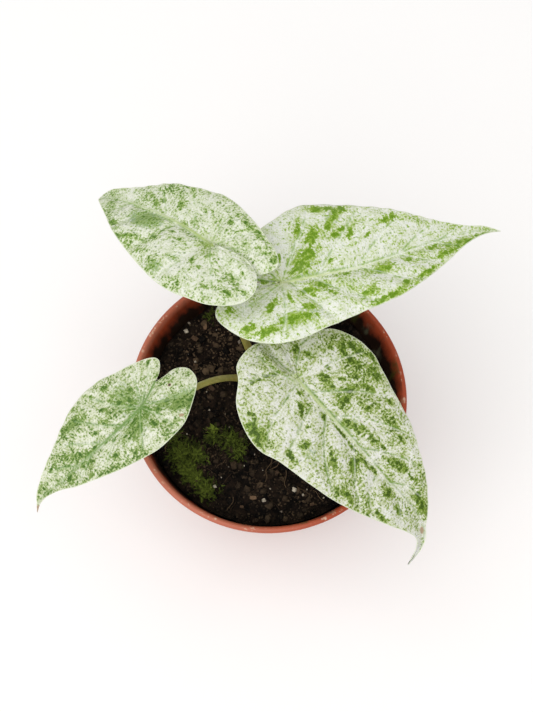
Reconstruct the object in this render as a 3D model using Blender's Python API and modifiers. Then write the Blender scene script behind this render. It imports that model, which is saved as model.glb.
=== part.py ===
"""Potted alocasia: four variegated leaves on their stalks, a corm, potting soil and a nursery pot.

The origin is the middle of the pot's underside and +Z is up. Sizes are in millimetres and
become metres where a mesh is made. Each leaf is drawn flat, with x from its stalk to its tip
and y across, and is then bent, folded and hung in its place.
"""

import math

import bmesh
import bpy
from mathutils import Vector

MM = 0.001
GAP = 0.35

# The pot
POT_HEIGHT = 88.0
RIM_RADIUS = 52.5
RIM_WIDTH = 2.2
RIM_BAND = 8.0
BAND_STEP = 1.2
BASE_RADIUS = 36.0
BASE_ROUND = 2.0
POT_WALL = 1.2
POT_FLOOR = 1.6
POT_SIDES = 56
DRAIN_COUNT = 6
DRAIN_RADIUS = 3.5
DRAIN_CIRCLE = 23.0

# The soil
SOIL_LEVEL = 75.5
SOIL_RINGS = 8
SOIL_LUMP = 1.1
SOIL_DISH = 2.2

# The corm, half sunk in the soil
PLANT_X = -2.6
PLANT_Y = 5.7
CORM_BASE = 58.0
CORM_RADIUS = 9.0
CORM_TOP = 79.0
NECK_RADIUS = 6.6

# The stalks
STALK_CIRCLE = 3.7
FIRST_SEAT = 140.0
STALK_BASE_RADIUS = 2.3
STALK_LEAD = 5.0
STALK_SPACING = 4.0

# The blades
BLADE = 0.7
RIB = 1.9
RIB_SHARE = 0.09
QUILT = 0.55
WAVE = 0.7
FULL_WIDTH = 20.0
LOBE_LIFT = 1.5
ROWS_PER_FIELD = 4
ACROSS = (0.0, 0.06, 0.16, 0.32, 0.5, 0.68, 0.85, 1.0)
SIDE_VEINS = (1.0, 0.8, 0.6, 0.4, 0.24, 0.14, 0.03)
LOBE_FIELDS = 3

# Each blade: where its stalk meets it, which way and how steeply it hangs, its fold and crown,
# and its flat outline from the tip round each lobe to the notch
LEAVES = {
    "top": {
        "junction": (-21.6, 20.6, 168.0),
        "heading": 152.0,
        "pitch": 16.0,
        "bend": 0.35,
        "lobe_bend": 0.35,
        "fold": 14.0,
        "crown": 1.3,
        "roll": 5.0,
        "tail": (50.0, 0.05),
        "upper_lobe": 1,
        "midrib": [(56, -0.5), (43, -2.0), (28, -1.9), (14, -1.6), (0, 0), (-2.5, 0.5)],
        "left": [(56, -0.5), (49, 3.2), (42, 6.7), (30, 12.6), (16, 17.6), (3, 20.8), (-9, 20.0),
                 (-18, 17.2), (-23, 12.4), (-23.8, 7.0), (-20, 1.8), (-13, -0.7), (-6.5, 0.9),
                 (-2.5, 0.5)],
        "right": [(56, -0.5), (52, -4.0), (43, -7.2), (32, -12.2), (20, -15.4), (7.5, -17.5),
                  (-4, -15.0), (-14, -11.0), (-21, -7.6), (-23.8, -3.6), (-20, 0.6), (-14, 1.4),
                  (-7, 0.0), (-2.5, 0.5)],
        "stalk": [(-7.0, 9.0, 100.0), (-13.5, 13.5, 128.0)],
        "stalk_radius": 1.3,
    },
    "right": {
        "junction": (2.2, 14.8, 158.0),
        "heading": 28.5,
        "pitch": 6.0,
        "bend": 0.18,
        "lobe_bend": 0.45,
        "fold": 18.0,
        "crown": 1.3,
        "roll": -4.0,
        "tail": (74.0, 0.012),
        "upper_lobe": 0,
        "midrib": [(84.5, 0.6), (64, 0.8), (39, -1.2), (26, -1.9), (13, -1.1), (0, 0), (-1.5, 0.7)],
        "left": [(84.5, 0.6), (77, 3.0), (69, 4.6), (54, 10.7), (40, 17.7), (29, 23.0), (17, 26.5),
                 (5, 22.6), (-5, 17.5), (-11, 12.5), (-13.5, 8.0), (-12, 4.6), (-7, 3.3),
                 (-1.5, 0.7)],
        "right": [(84.5, 0.6), (76, -0.2), (67, -3.1), (56, -8.5), (46, -12.8), (34, -16.9),
                  (20, -18.6), (6, -20.3), (-4, -21.2), (-14, -18.4), (-20.5, -12.2),
                  (-23.6, -5.0), (-21, -0.2), (-14, 1.6), (-7, 1.4), (-1.5, 0.7)],
        "stalk": [(-1.0, 9.0, 100.0), (1.5, 12.5, 130.0)],
        "stalk_radius": 1.4,
    },
    "front": {
        "junction": (10.8, -11.2, 143.0),
        "heading": -38.0,
        "pitch": 12.0,
        "bend": 0.35,
        "lobe_bend": 0.45,
        "fold": 14.0,
        "crown": 1.2,
        "roll": 0.0,
        "tail": (64.0, 0.02),
        "upper_lobe": 1,
        "midrib": [(72.2, -11.2), (71.3, -6.8), (69.2, -2.8), (65, 0.2), (58, 1.2), (44, 0.3),
                   (30, 0.2), (15, 0), (0, 0), (-1.2, 0.7)],
        "left": [(72.2, -11.2), (71.8, -6.4), (69.9, -1.4), (66, 1.6), (62, 5.6), (54, 11.0),
                 (44, 15.1), (35.5, 19.0), (28, 21.0), (20, 23.0), (10, 25.3), (2, 23.8),
                 (-4, 20.3), (-8, 14.5), (-13, 11.0), (-15.6, 7.2), (-14.5, 4.2), (-9, 3.2),
                 (-4, 2.7), (-1.2, 0.7)],
        "right": [(72.2, -11.2), (70.8, -7.6), (67.9, -4.2), (63.5, -4.9), (56, -8.8), (46, -13.8),
                  (36, -17.9), (25, -20.7), (16, -22.5), (8, -25.1), (0, -23.9), (-7, -20.6),
                  (-12, -15.0), (-16.2, -11.6), (-17.6, -5.6), (-16.5, 0.5), (-12.5, 4.0),
                  (-7, 3.6), (-3.4, 1.3), (-1.2, 0.7)],
        "stalk": [(1.0, 1.0, 100.0), (6.5, -5.5, 124.0)],
        "stalk_radius": 1.3,
    },
    "left": {
        "junction": (-39.8, -23.2, 128.0),
        "heading": -135.0,
        "pitch": 14.0,
        "bend": 0.35,
        "lobe_bend": 0.45,
        "fold": 12.0,
        "crown": 1.4,
        "roll": 0.0,
        "tail": (46.0, 0.08),
        "upper_lobe": 0,
        "midrib": [(53, 1.8), (50.5, 0.7), (47, 0.3), (38, 1.0), (30, 1.3), (14, 1.1), (0, 0),
                   (-8.8, -3.7)],
        "left": [(53, 1.8), (50.2, 1.3), (46, 1.5), (40, 3.4), (33, 7.0), (22, 11.0), (13, 13.6),
                 (3, 15.4), (-8, 14.0), (-15, 9.8), (-20.2, 5.0), (-20.4, -0.2), (-16.8, -3.2),
                 (-12.4, -3.5), (-8.8, -3.7)],
        "right": [(53, 1.8), (50.8, 0.0), (48.6, -1.8), (42, -5.2), (33, -9.8), (25, -13.3),
                  (16, -16.8), (7.5, -17.2), (-1, -14.9), (-8, -13.2), (-13, -11.0),
                  (-14.2, -8.7), (-12.0, -5.6), (-8.8, -3.7)],
        "stalk": [(-8.5, 2.0, 96.0), (-19.5, -6.0, 113.0)],
        "stalk_radius": 1.15,
    },
}


def clear_scene():
    for item in list(bpy.data.objects):
        bpy.data.objects.remove(item, do_unlink=True)


def make_collection(name):
    collection = bpy.data.collections.new(name)
    bpy.context.scene.collection.children.link(collection)
    return collection


def make_material(name, colour, roughness, metallic=0.0):
    material = bpy.data.materials.new(name)
    material.use_nodes = True
    shader = material.node_tree.nodes["Principled BSDF"]
    shader.inputs["Base Color"].default_value = (*colour, 1.0)
    shader.inputs["Roughness"].default_value = roughness
    shader.inputs["Metallic"].default_value = metallic
    return material


def add_object(name, data, collection, material=None):
    piece = bpy.data.objects.new(name, data)
    collection.objects.link(piece)
    if material:
        data.materials.append(material)
    return piece


def set_smooth(mesh, angle=40.0):
    mesh.shade_smooth()
    mesh.set_sharp_from_angle(angle=math.radians(angle))


def ease(value, low, high):
    """0 below low, 1 above high, and a smooth step between."""
    share = min(1.0, max(0.0, (value - low) / (high - low)))
    return share * share * (3.0 - 2.0 * share)


def smooth_line(points, steps=14):
    """A smooth curve through the points, with a fixed number of steps between two of them."""
    points = [Vector(point) for point in points]
    ends = [2 * points[0] - points[1]] + points + [2 * points[-1] - points[-2]]
    line = []
    for a, b, c, d in zip(ends, ends[1:], ends[2:], ends[3:]):
        for step in range(steps):
            t = step / steps
            line.append(0.5 * ((2 * b) + (c - a) * t + (2 * a - 5 * b + 4 * c - d) * t * t
                               + (3 * b - a - 3 * c + d) * t ** 3))
    line.append(points[-1])
    return line


def point_at_share(line, share):
    """The point that lies this share of the line's length from its start."""
    lengths = [(b - a).length for a, b in zip(line, line[1:])]
    wanted = share * sum(lengths)
    for start, end, length in zip(line, line[1:], lengths):
        if wanted <= length and length > 0:
            return start.lerp(end, wanted / length)
        wanted -= length
    return line[-1].copy()


def split_at_x(line, x):
    """Where a line that runs from the tip first comes down to x, and the rest of the line."""
    for index, (start, end) in enumerate(zip(line, line[1:])):
        if end.x <= x <= start.x and start.x > end.x:
            point = start.lerp(end, (start.x - x) / (start.x - end.x))
            return point, [point] + line[index + 1:]
    return line[0].copy(), line


def turned(name, profile, sides, collection, material=None):
    """A turned body: a profile of (radius, height), down its outer side, with a Screw modifier."""
    mesh = bpy.data.meshes.new(name)
    places = [(radius * MM, 0.0, height * MM) for radius, height in profile]
    mesh.from_pydata(places, [(i, i + 1) for i in range(len(places) - 1)], [])
    piece = add_object(name, mesh, collection, material)
    screw = piece.modifiers.new("Turn", "SCREW")
    screw.steps = sides
    screw.render_steps = sides
    screw.use_merge_vertices = True
    screw.merge_threshold = 0.00001
    screw.use_smooth_shade = True
    return piece


def settled_mesh(piece):
    """The piece with its modifiers applied, as a plain mesh that can be shaped further."""
    graph = bpy.context.evaluated_depsgraph_get()
    mesh = bpy.data.meshes.new_from_object(piece.evaluated_get(graph))
    piece.modifiers.clear()
    piece.data = mesh
    return mesh


def wall_radius(height):
    """The pot's inner radius at a height, inside a wall of even thickness."""
    top = RIM_RADIUS - RIM_WIDTH
    bottom = BASE_RADIUS - POT_WALL
    return bottom + (top - bottom) * height / POT_HEIGHT


def pot_profile():
    """From the middle of the inner floor, up the wall, over the lip and down the outside."""
    inner_top = POT_HEIGHT - RIM_WIDTH / 2
    band_bottom = POT_HEIGHT - RIM_BAND
    profile = [(0.0, POT_FLOOR), (wall_radius(POT_FLOOR) - BASE_ROUND, POT_FLOOR)]
    profile += [(wall_radius(h), h) for h in (POT_FLOOR + BASE_ROUND, 45.0, band_bottom, inner_top)]
    lip = RIM_RADIUS - RIM_WIDTH / 2
    for degrees in (135, 90, 45, 0):
        angle = math.radians(degrees)
        profile.append((lip + RIM_WIDTH / 2 * math.cos(angle),
                        inner_top + RIM_WIDTH / 2 * math.sin(angle)))
    below_band = wall_radius(band_bottom) + POT_WALL
    profile += [(below_band + BAND_STEP, band_bottom + 0.4), (below_band, band_bottom - 0.4)]
    profile += [(wall_radius(h) + POT_WALL, h) for h in (45.0, BASE_ROUND)]
    profile += [(BASE_RADIUS - BASE_ROUND * 0.3, BASE_ROUND * 0.3), (BASE_RADIUS - BASE_ROUND, 0.0),
                (0.0, 0.0)]
    return profile


def make_pot(parts, cutters, material):
    pot = turned("pot", pot_profile(), POT_SIDES, parts, material)
    for index in range(DRAIN_COUNT):
        angle = math.tau * (index + 0.5) / DRAIN_COUNT
        bpy.ops.mesh.primitive_cylinder_add(
            vertices=16, radius=DRAIN_RADIUS * MM, depth=4 * POT_FLOOR * MM,
            location=(DRAIN_CIRCLE * MM * math.cos(angle), DRAIN_CIRCLE * MM * math.sin(angle), 0.0))
        cutter = bpy.context.object
        cutter.name = "drain_cutter_%d" % (index + 1)
        cutter.users_collection[0].objects.unlink(cutter)
        cutters.objects.link(cutter)
        cutter.hide_render = True
        cutter.display_type = "WIRE"
        hole = pot.modifiers.new("Drain %d" % (index + 1), "BOOLEAN")
        hole.operation = "DIFFERENCE"
        hole.object = cutter
    return pot


def soil_height(x, y):
    """Crumbly potting soil: a shallow dish towards the wall, with a few broad lumps."""
    lumps = math.sin(0.21 * x + 1.3) * math.cos(0.17 * y - 0.6) + 0.6 * math.sin(0.43 * y + 0.31 * x)
    dish = SOIL_DISH * (math.hypot(x, y) / RIM_RADIUS) ** 3
    return SOIL_LEVEL + SOIL_LUMP * lumps - dish


def corm_profile(clearance=0.0):
    """The corm's outline, from its crown down to its base, or the hole that it stands in."""
    crown = [(0.0, CORM_TOP), (NECK_RADIUS - 0.8, CORM_TOP), (NECK_RADIUS, CORM_TOP - 0.8)]
    if clearance:
        crown = [(0.0, POT_HEIGHT), (NECK_RADIUS + clearance, POT_HEIGHT)]
    body = [(NECK_RADIUS + 0.2, CORM_TOP - 5.0), (CORM_RADIUS, CORM_BASE + 8.0),
            (CORM_RADIUS - 0.8, CORM_BASE + 4.0), (CORM_RADIUS * 0.6, CORM_BASE + 0.8)]
    body = [(radius + clearance, height - clearance * 0.4) for radius, height in body]
    return crown + body + [(0.0, CORM_BASE - clearance)]


def make_soil(parts, cutters, material):
    floor = POT_FLOOR + GAP
    edge = SOIL_LEVEL - SOIL_DISH
    outer = [(wall_radius(h) - GAP, h) for h in (edge, 45.0, floor + BASE_ROUND)]
    top = [(outer[0][0] * i / SOIL_RINGS, edge) for i in range(SOIL_RINGS)]
    profile = top + outer + [(wall_radius(floor) - BASE_ROUND - GAP, floor), (0.0, floor)]
    soil = turned("soil", profile, POT_SIDES, parts, material)
    mesh = settled_mesh(soil)
    for vertex in mesh.vertices:
        if vertex.co.z > (edge - 0.01) * MM:
            vertex.co.z = soil_height(vertex.co.x / MM, vertex.co.y / MM) * MM
    set_smooth(mesh)
    hole = turned("corm_hole_cutter", corm_profile(GAP), 32, cutters)
    hole.location = (PLANT_X * MM, PLANT_Y * MM, 0.0)
    hole.hide_render = True
    hole.display_type = "WIRE"
    cut = soil.modifiers.new("Corm hole", "BOOLEAN")
    cut.operation = "DIFFERENCE"
    cut.object = hole
    return soil


def make_corm(parts, material):
    corm = turned("corm", corm_profile(), 32, parts, material)
    corm.location = (PLANT_X * MM, PLANT_Y * MM, 0.0)
    return corm


def midrib_frame(leaf, x):
    """The midrib's place, its forward direction and the blade's normal, x from the junction."""
    heading = math.radians(leaf["heading"])
    forward = Vector((math.cos(heading), math.sin(heading), 0.0))
    aside = Vector((-math.sin(heading), math.cos(heading), 0.0))
    start = math.radians(leaf["pitch"])
    rate = math.radians(leaf["bend"] if x > 0 else leaf["lobe_bend"])
    slope = start + rate * x
    run = (math.sin(slope) - math.sin(start)) / rate
    fall = (math.cos(start) - math.cos(slope)) / rate
    tail_start, tail_drop = leaf["tail"]
    fall += tail_drop * max(0.0, x - tail_start) ** 2
    place = Vector(leaf["junction"]) + forward * run - Vector((0, 0, fall))
    normal = forward * math.sin(slope) + Vector((0, 0, math.cos(slope)))
    return place, aside, normal


def rib_offset(rib_line, x):
    """How far the midrib wanders off the blade's straight axis."""
    for start, end in zip(rib_line, rib_line[1:]):
        if end.x <= x <= start.x and start.x > end.x:
            return start.lerp(end, (start.x - x) / (start.x - end.x)).y
    return rib_line[0].y if x > rib_line[0].x else rib_line[-1].y


def hang(leaf, rib_line, x, y, side, raised):
    """A point of the flat blade in its place: folded up at the midrib and crowned to the edge."""
    place, aside, normal = midrib_frame(leaf, x)
    wander = rib_offset(rib_line, x)
    across = y - wander
    sign = 1.0 if across >= 0 else -1.0
    rate = math.radians(leaf["crown"])
    start = math.radians(-leaf["fold"] - sign * leaf["roll"])
    droop = start + rate * abs(across)
    out = (math.sin(droop) - math.sin(start)) / rate
    down = (math.cos(start) - math.cos(droop)) / rate
    if leaf["upper_lobe"]:
        near_notch = LOBE_LIFT * ease(-x, 1.0, 5.0)
        if side == leaf["upper_lobe"]:
            raised += near_notch * (1.0 - ease(abs(across), 1.0, 8.0))
        else:
            raised -= near_notch * ease(side * across, 4.0, -0.5)
    return place + aside * (wander + sign * out) + normal * (raised - down)


def blade_rows(leaf, rows_per_field, across):
    """The blade as rows from tip to notch, each from its left edge over the midrib to its right.

    A row follows a side vein. Between two veins lies a field, which swells up like a quilt.
    """
    rib_line = smooth_line(leaf["midrib"])
    edges = {1: smooth_line(leaf["left"]), -1: smooth_line(leaf["right"])}
    length = rib_line[0].x
    notch = rib_line[-1]
    lobe_start = SIDE_VEINS[-1] * length
    rows = []

    def half_width(x):
        spans = [abs(split_at_x(edges[side], x)[0].y - rib_offset(rib_line, x)) for side in edges]
        return 0.5 * sum(spans)

    def reach(x):
        """Where a vein that leaves the midrib at x ends on the edge: it sweeps forward."""
        sweep = 0.25 + 0.55 * ease(x / length, 0.08, 0.25)
        return x + sweep * half_width(x)

    def add_row(x, rib_point, ends, field_share, phase):
        row = []
        for side in (1, -1):
            shares = reversed(across) if side == 1 else across[1:]
            width = (ends[side] - rib_point).length
            for share in shares:
                flat = rib_point.lerp(ends[side], share)
                full = min(1.0, width / FULL_WIDTH)
                quilt = QUILT * full * math.sin(math.pi * field_share) ** 0.7
                quilt *= math.sin(math.pi * min(1.0, share * 1.05)) if share < 0.95 else 0.0
                wave = WAVE * full * share ** 2 * math.sin(phase * 2.1 + side)
                raised = quilt + wave * (0.0 if x < 0 else 1.0)
                row.append(hang(leaf, rib_line, flat.x, flat.y, side, raised))
        rows.append(row)

    for field, (near, far) in enumerate(zip(SIDE_VEINS, SIDE_VEINS[1:])):
        for step in range(rows_per_field):
            share = step / rows_per_field
            x = length * (near + (far - near) * share)
            rib_point = Vector((x, rib_offset(rib_line, x)))
            ends = {side: split_at_x(edges[side], reach(x))[0] for side in edges}
            add_row(x, rib_point, ends, share, field + share)
    lobes = {side: split_at_x(edges[side], reach(lobe_start))[1] for side in edges}
    lobe_rib = smooth_line([(lobe_start, rib_offset(rib_line, lobe_start)), (0, 0), tuple(notch)])
    count = LOBE_FIELDS * rows_per_field
    for step in range(count + 1):
        share = step / count
        rib_point = point_at_share(lobe_rib, share ** 1.5)
        ends = {side: point_at_share(lobes[side], share) for side in lobes}
        field_share = (share * LOBE_FIELDS) % 1.0
        add_row(-1.0, rib_point, ends, field_share, len(SIDE_VEINS) + share * LOBE_FIELDS)
    return rows


def make_blade(name, leaf, parts, material):
    """A grid laid over the rows, split into triangles and thickened, with a rib underneath."""
    rows = blade_rows(leaf, ROWS_PER_FIELD, ACROSS)
    count_along = len(rows)
    count_across = len(rows[0])
    build = bmesh.new()
    rib_layer = build.verts.layers.deform.verify()
    grid = bmesh.ops.create_grid(build, x_segments=count_across - 1, y_segments=count_along - 1,
                                 size=1.0)
    middle = (count_across - 1) // 2
    for vertex in grid["verts"]:
        column = round((vertex.co.x + 1.0) / 2.0 * (count_across - 1))
        line = round((vertex.co.y + 1.0) / 2.0 * (count_along - 1))
        to_tip = line / (count_along - 1)
        share = ACROSS[abs(column - middle)]
        crest = math.exp(-(share / RIB_SHARE) ** 2)
        taper = ease(to_tip, 0.0, 0.55)
        thickness = BLADE + (RIB - BLADE) * crest * taper
        vertex[rib_layer][0] = thickness / RIB
        vertex.co = rows[line][column] * MM
    bmesh.ops.remove_doubles(build, verts=build.verts, dist=0.00002)
    bmesh.ops.recalc_face_normals(build, faces=build.faces)
    upward = sum(face.normal.z * face.calc_area() for face in build.faces)
    if upward < 0:
        bmesh.ops.reverse_faces(build, faces=build.faces)
    bmesh.ops.triangulate(build, faces=build.faces)
    mesh = bpy.data.meshes.new(name)
    build.to_mesh(mesh)
    build.free()
    blade = add_object(name, mesh, parts, material)
    blade.vertex_groups.new(name="thickness")
    wall = blade.modifiers.new("Blade", "SOLIDIFY")
    wall.thickness = RIB * MM
    wall.offset = -1.0
    wall.vertex_group = "thickness"
    set_smooth(mesh, 60.0)
    return blade


def stalk_points(seat, leaf):
    """From its seat on the corm's crown, up through its own bends, to just under the blade."""
    angle = math.radians(FIRST_SEAT - 360.0 * seat / len(LEAVES))
    base = Vector((PLANT_X + STALK_CIRCLE * math.cos(angle),
                   PLANT_Y + STALK_CIRCLE * math.sin(angle), CORM_TOP + GAP))
    junction, _, normal = midrib_frame(leaf, 0.0)
    end = junction - normal * (RIB + GAP)
    below = end - normal * STALK_LEAD
    rise = base + Vector((0.0, 0.0, STALK_LEAD))
    return [base, rise] + [Vector(point) for point in leaf["stalk"]] + [below, end]


def make_stalk(name, seat, leaf, parts, material):
    """A round stalk, stout where it leaves the corm and slim where it carries the blade."""
    line = smooth_line(stalk_points(seat, leaf))
    length = sum((b - a).length for a, b in zip(line, line[1:]))
    count = max(8, round(length / STALK_SPACING))
    curve = bpy.data.curves.new(name, "CURVE")
    curve.dimensions = "3D"
    curve.bevel_depth = MM
    curve.bevel_resolution = 2
    curve.use_fill_caps = True
    spline = curve.splines.new("POLY")
    spline.points.add(count)
    for index, point in enumerate(spline.points):
        share = index / count
        place = point_at_share(line, share)
        slim = ease(share, 0.0, 0.45)
        point.co = (place.x * MM, place.y * MM, place.z * MM, 1.0)
        point.radius = STALK_BASE_RADIUS + (leaf["stalk_radius"] - STALK_BASE_RADIUS) * slim
    return add_object(name, curve, parts, material)


def main():
    clear_scene()
    parts = make_collection("Potted_Alocasia")
    cutters = make_collection("Cutters")
    plastic = make_material("Terracotta plastic", (0.48, 0.115, 0.055), 0.45)
    peat = make_material("Potting soil", (0.030, 0.020, 0.014), 0.95)
    green = make_material("Variegated leaf", (0.55, 0.66, 0.42), 0.5)
    stalk_green = make_material("Leaf stalk", (0.36, 0.42, 0.13), 0.5)
    brown = make_material("Corm", (0.17, 0.10, 0.05), 0.8)
    make_pot(parts, cutters, plastic)
    make_soil(parts, cutters, peat)
    make_corm(parts, brown)
    for seat, (name, leaf) in enumerate(LEAVES.items()):
        make_stalk("stalk_" + name, seat, leaf, parts, stalk_green)
        make_blade("leaf_" + name, leaf, parts, green)


main()
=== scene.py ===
# %% [markdown]
# # Potted alocasia
# A young variegated alocasia stands in a plastic nursery pot: four arrowhead leaves on slim
# stalks, a corm and dark potting soil with moss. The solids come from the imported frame, and each
# piece below is a finer version of one of them, in the same place and of the same size.

# %% Load the frame
import math
import random
from contextlib import contextmanager
from functools import partial

import bpy
import numpy as np
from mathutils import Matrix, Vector, noise


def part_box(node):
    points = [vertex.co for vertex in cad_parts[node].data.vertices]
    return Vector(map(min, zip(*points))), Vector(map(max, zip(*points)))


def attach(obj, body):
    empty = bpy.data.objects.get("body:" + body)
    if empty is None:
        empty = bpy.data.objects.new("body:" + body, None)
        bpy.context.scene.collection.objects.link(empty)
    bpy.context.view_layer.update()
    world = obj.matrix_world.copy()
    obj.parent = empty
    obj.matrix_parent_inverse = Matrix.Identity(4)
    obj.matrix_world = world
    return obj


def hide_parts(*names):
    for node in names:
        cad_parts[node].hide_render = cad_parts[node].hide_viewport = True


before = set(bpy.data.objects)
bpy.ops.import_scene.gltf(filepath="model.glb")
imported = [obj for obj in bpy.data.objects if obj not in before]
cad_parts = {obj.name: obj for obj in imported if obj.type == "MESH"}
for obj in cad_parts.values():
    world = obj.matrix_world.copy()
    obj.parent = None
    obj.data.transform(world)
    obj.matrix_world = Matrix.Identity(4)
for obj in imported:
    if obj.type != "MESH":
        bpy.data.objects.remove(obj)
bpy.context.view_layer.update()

MM = 0.001

# %% [markdown]
# ## The camera
# The plant is looked at from steeply above with a normal lens, so the top leaves are nearer and
# come out larger. The eye's place is given from the middle of the pot's rim.

# %% Set the camera
RIM_MIDDLE = Vector((0.0, 0.0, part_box("pot")[1].z))
EYE_FROM_RIM = Vector((0.01525, -0.11343, 0.35635))
EYE_AZIMUTH = 8.0
EYE_ELEVATION = 70.0


def away_from_plant(azimuth, elevation):
    """The direction in which something stands that is seen from the plant at these degrees."""
    a, e = math.radians(azimuth), math.radians(elevation)
    return Vector((math.sin(a) * math.cos(e), -math.cos(a) * math.cos(e), math.sin(e)))


def aim(name, data, place, away):
    """Puts a camera or a lamp in its place, looking against the direction away."""
    thing = bpy.data.objects.new(name, data)
    bpy.context.scene.collection.objects.link(thing)
    thing.location = place
    thing.rotation_mode = "QUATERNION"
    thing.rotation_quaternion = (-away).to_track_quat("-Z", "Y")
    return thing


camera_data = bpy.data.cameras.new("Camera")
camera_data.lens = 50.0
camera_data.sensor_width = 36.0
camera_data.clip_start = 0.01
camera = aim("Camera", camera_data, RIM_MIDDLE + EYE_FROM_RIM,
             away_from_plant(EYE_AZIMUTH, EYE_ELEVATION))
bpy.context.scene.camera = camera
print("camera at", [round(v, 4) for v in camera.location])

# %% [markdown]
# ## Tools for the hand
# A few short helpers: one picks a single object for the operators, one holds it in edit mode, one
# applies its modifiers, and one ends a piece, which gives it its material and ties it to the
# frame. Blades and stalks start as a grid whose points are then laid in their places.


# %% Helpers for modelling
def pick(piece):
    """Selects one object alone and makes it active, so that an operator acts on it only."""
    if bpy.context.object and bpy.context.object.mode != "OBJECT":
        bpy.ops.object.mode_set(mode="OBJECT")
    bpy.ops.object.select_all(action="DESELECT")
    piece.select_set(True)
    bpy.context.view_layer.objects.active = piece


@contextmanager
def edit_mode(piece):
    """Edit mode on one piece, with all of it selected at the start."""
    pick(piece)
    bpy.ops.object.mode_set(mode="EDIT")
    bpy.ops.mesh.select_all(action="SELECT")
    yield
    bpy.ops.object.mode_set(mode="OBJECT")


def apply_modifiers(piece):
    pick(piece)
    for modifier in list(piece.modifiers):
        bpy.ops.object.modifier_apply(modifier=modifier.name)


def hand_in(piece, materials, replaces=()):
    """Ends a piece: its place goes into its mesh, it takes its materials and rides on the frame."""
    pick(piece)
    bpy.ops.object.transform_apply(location=True, rotation=True, scale=True)
    piece.data.materials.clear()
    for material in materials:
        piece.data.materials.append(material)
    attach(piece, "root")
    if replaces:
        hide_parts(*replaces)
    triangles = sum(len(face.vertices) - 2 for face in piece.data.polygons)
    print(piece.name, "has", triangles, "triangles")
    return piece


def get_points(mesh):
    points = np.empty(len(mesh.vertices) * 3, np.float32)
    mesh.vertices.foreach_get("co", points)
    return points.reshape(-1, 3).astype(float)


def set_points(mesh, points):
    mesh.vertices.foreach_set("co", np.asarray(points, np.float32).ravel())
    mesh.update()


def lay_grid(name, places):
    """A grid laid on rows and columns of places, and the row and the column of each point."""
    rows, columns = places.shape[:2]
    bpy.ops.mesh.primitive_grid_add(x_subdivisions=columns - 1, y_subdivisions=rows - 1, size=2.0)
    sheet = bpy.context.object
    sheet.name = name
    grid = get_points(sheet.data)
    column = np.rint((grid[:, 0] + 1.0) / 2.0 * (columns - 1)).astype(int)
    row = np.rint((grid[:, 1] + 1.0) / 2.0 * (rows - 1)).astype(int)
    set_points(sheet.data, places[row, column])
    return sheet, row, column


def store(mesh, name, values):
    """Keeps a number or a vector for each point, which a material can read by its name."""
    values = np.asarray(values, np.float32)
    kind, field = ("FLOAT", "value") if values.ndim == 1 else ("FLOAT_VECTOR", "vector")
    layer = mesh.attributes.new(name, kind, "POINT")
    layer.data.foreach_set(field, values.ravel())


def ease(value, low, high):
    """0 below low, 1 above high, and a smooth step between."""
    share = np.clip((np.asarray(value, float) - low) / (high - low), 0.0, 1.0)
    return share * share * (3.0 - 2.0 * share)


def bell(value, width):
    """1 at zero and fading on both sides within about the width."""
    return np.exp(-(np.asarray(value, float) / width) ** 2)


# %% [markdown]
# ## Helpers for materials
# Every finish is made of shader nodes with real sizes. One function adds a node and links or sets
# its inputs, and one fills in the material's own shader. Colours are written as the hex values
# that a paint program shows and are turned to linear light once, here.

# %% Helpers for materials
def colour(code):
    """A hex colour as linear red, green, blue and alpha."""
    parts = [int(code[i:i + 2], 16) / 255.0 for i in (1, 3, 5)]
    linear = [p / 12.92 if p <= 0.04045 else ((p + 0.055) / 1.055) ** 2.4 for p in parts]
    return (*linear, 1.0)


def new_material(name):
    material = bpy.data.materials.new(name)
    material.use_nodes = True
    return material


def feed(material, node, inputs):
    """Gives a node's inputs, by name or number, a value, a socket or a whole node."""
    for key, value in inputs.items():
        if isinstance(key, int):
            socket = node.inputs[key]
        else:
            socket = next(s for s in node.inputs if s.name == key and s.enabled)
        if isinstance(value, bpy.types.Node):
            value = next(s for s in value.outputs if s.enabled)
        if isinstance(value, bpy.types.NodeSocket):
            material.node_tree.links.new(value, socket)
        else:
            socket.default_value = value


def add_node(material, kind, inputs=None, **settings):
    """Adds a shader node, such as Math or Mix, with its settings and inputs."""
    node = material.node_tree.nodes.new("ShaderNode" + kind)
    for name, value in settings.items():
        setattr(node, name, value)
    feed(material, node, inputs or {})
    return node


def finish_surface(material, inputs):
    feed(material, material.node_tree.nodes["Principled BSDF"], inputs)


# %% [markdown]
# ## Floor and light
# A high-key picture: a pale matt floor, a bright even sky and one large soft lamp high up in
# front and a little to the left, like a skylight, so that hardly any leaf shades another.

# %% Set the stage
bpy.context.scene.view_settings.view_transform = "Standard"
bpy.ops.mesh.primitive_plane_add(size=6.0, location=(0.0, 0.0, 0.0))
floor = bpy.context.object
floor.name = "floor"
paper = new_material("Matt white paper")
finish_surface(paper, {"Base Color": colour("#F3F2F1"), "Roughness": 0.9})
floor.data.materials.append(paper)

world = bpy.data.worlds.new("Pale studio")
world.use_nodes = True
sky = world.node_tree.nodes["Background"]
sky.inputs["Color"].default_value = colour("#FFFEFD")
sky.inputs["Strength"].default_value = 0.60
bpy.context.scene.world = world

LAMP_AZIMUTH = -25.0
LAMP_ELEVATION = 68.0
LAMP_DISTANCE = 1.8

lamp_data = bpy.data.lights.new("key_lamp", "AREA")
lamp_data.shape = "SQUARE"
lamp_data.size = 2.0
lamp_data.energy = 30.0
to_lamp = away_from_plant(LAMP_AZIMUTH, LAMP_ELEVATION)
key_lamp = aim("key_lamp", lamp_data, RIM_MIDDLE + to_lamp * LAMP_DISTANCE, to_lamp)
print("key lamp at", [round(v, 2) for v in key_lamp.location])

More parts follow.
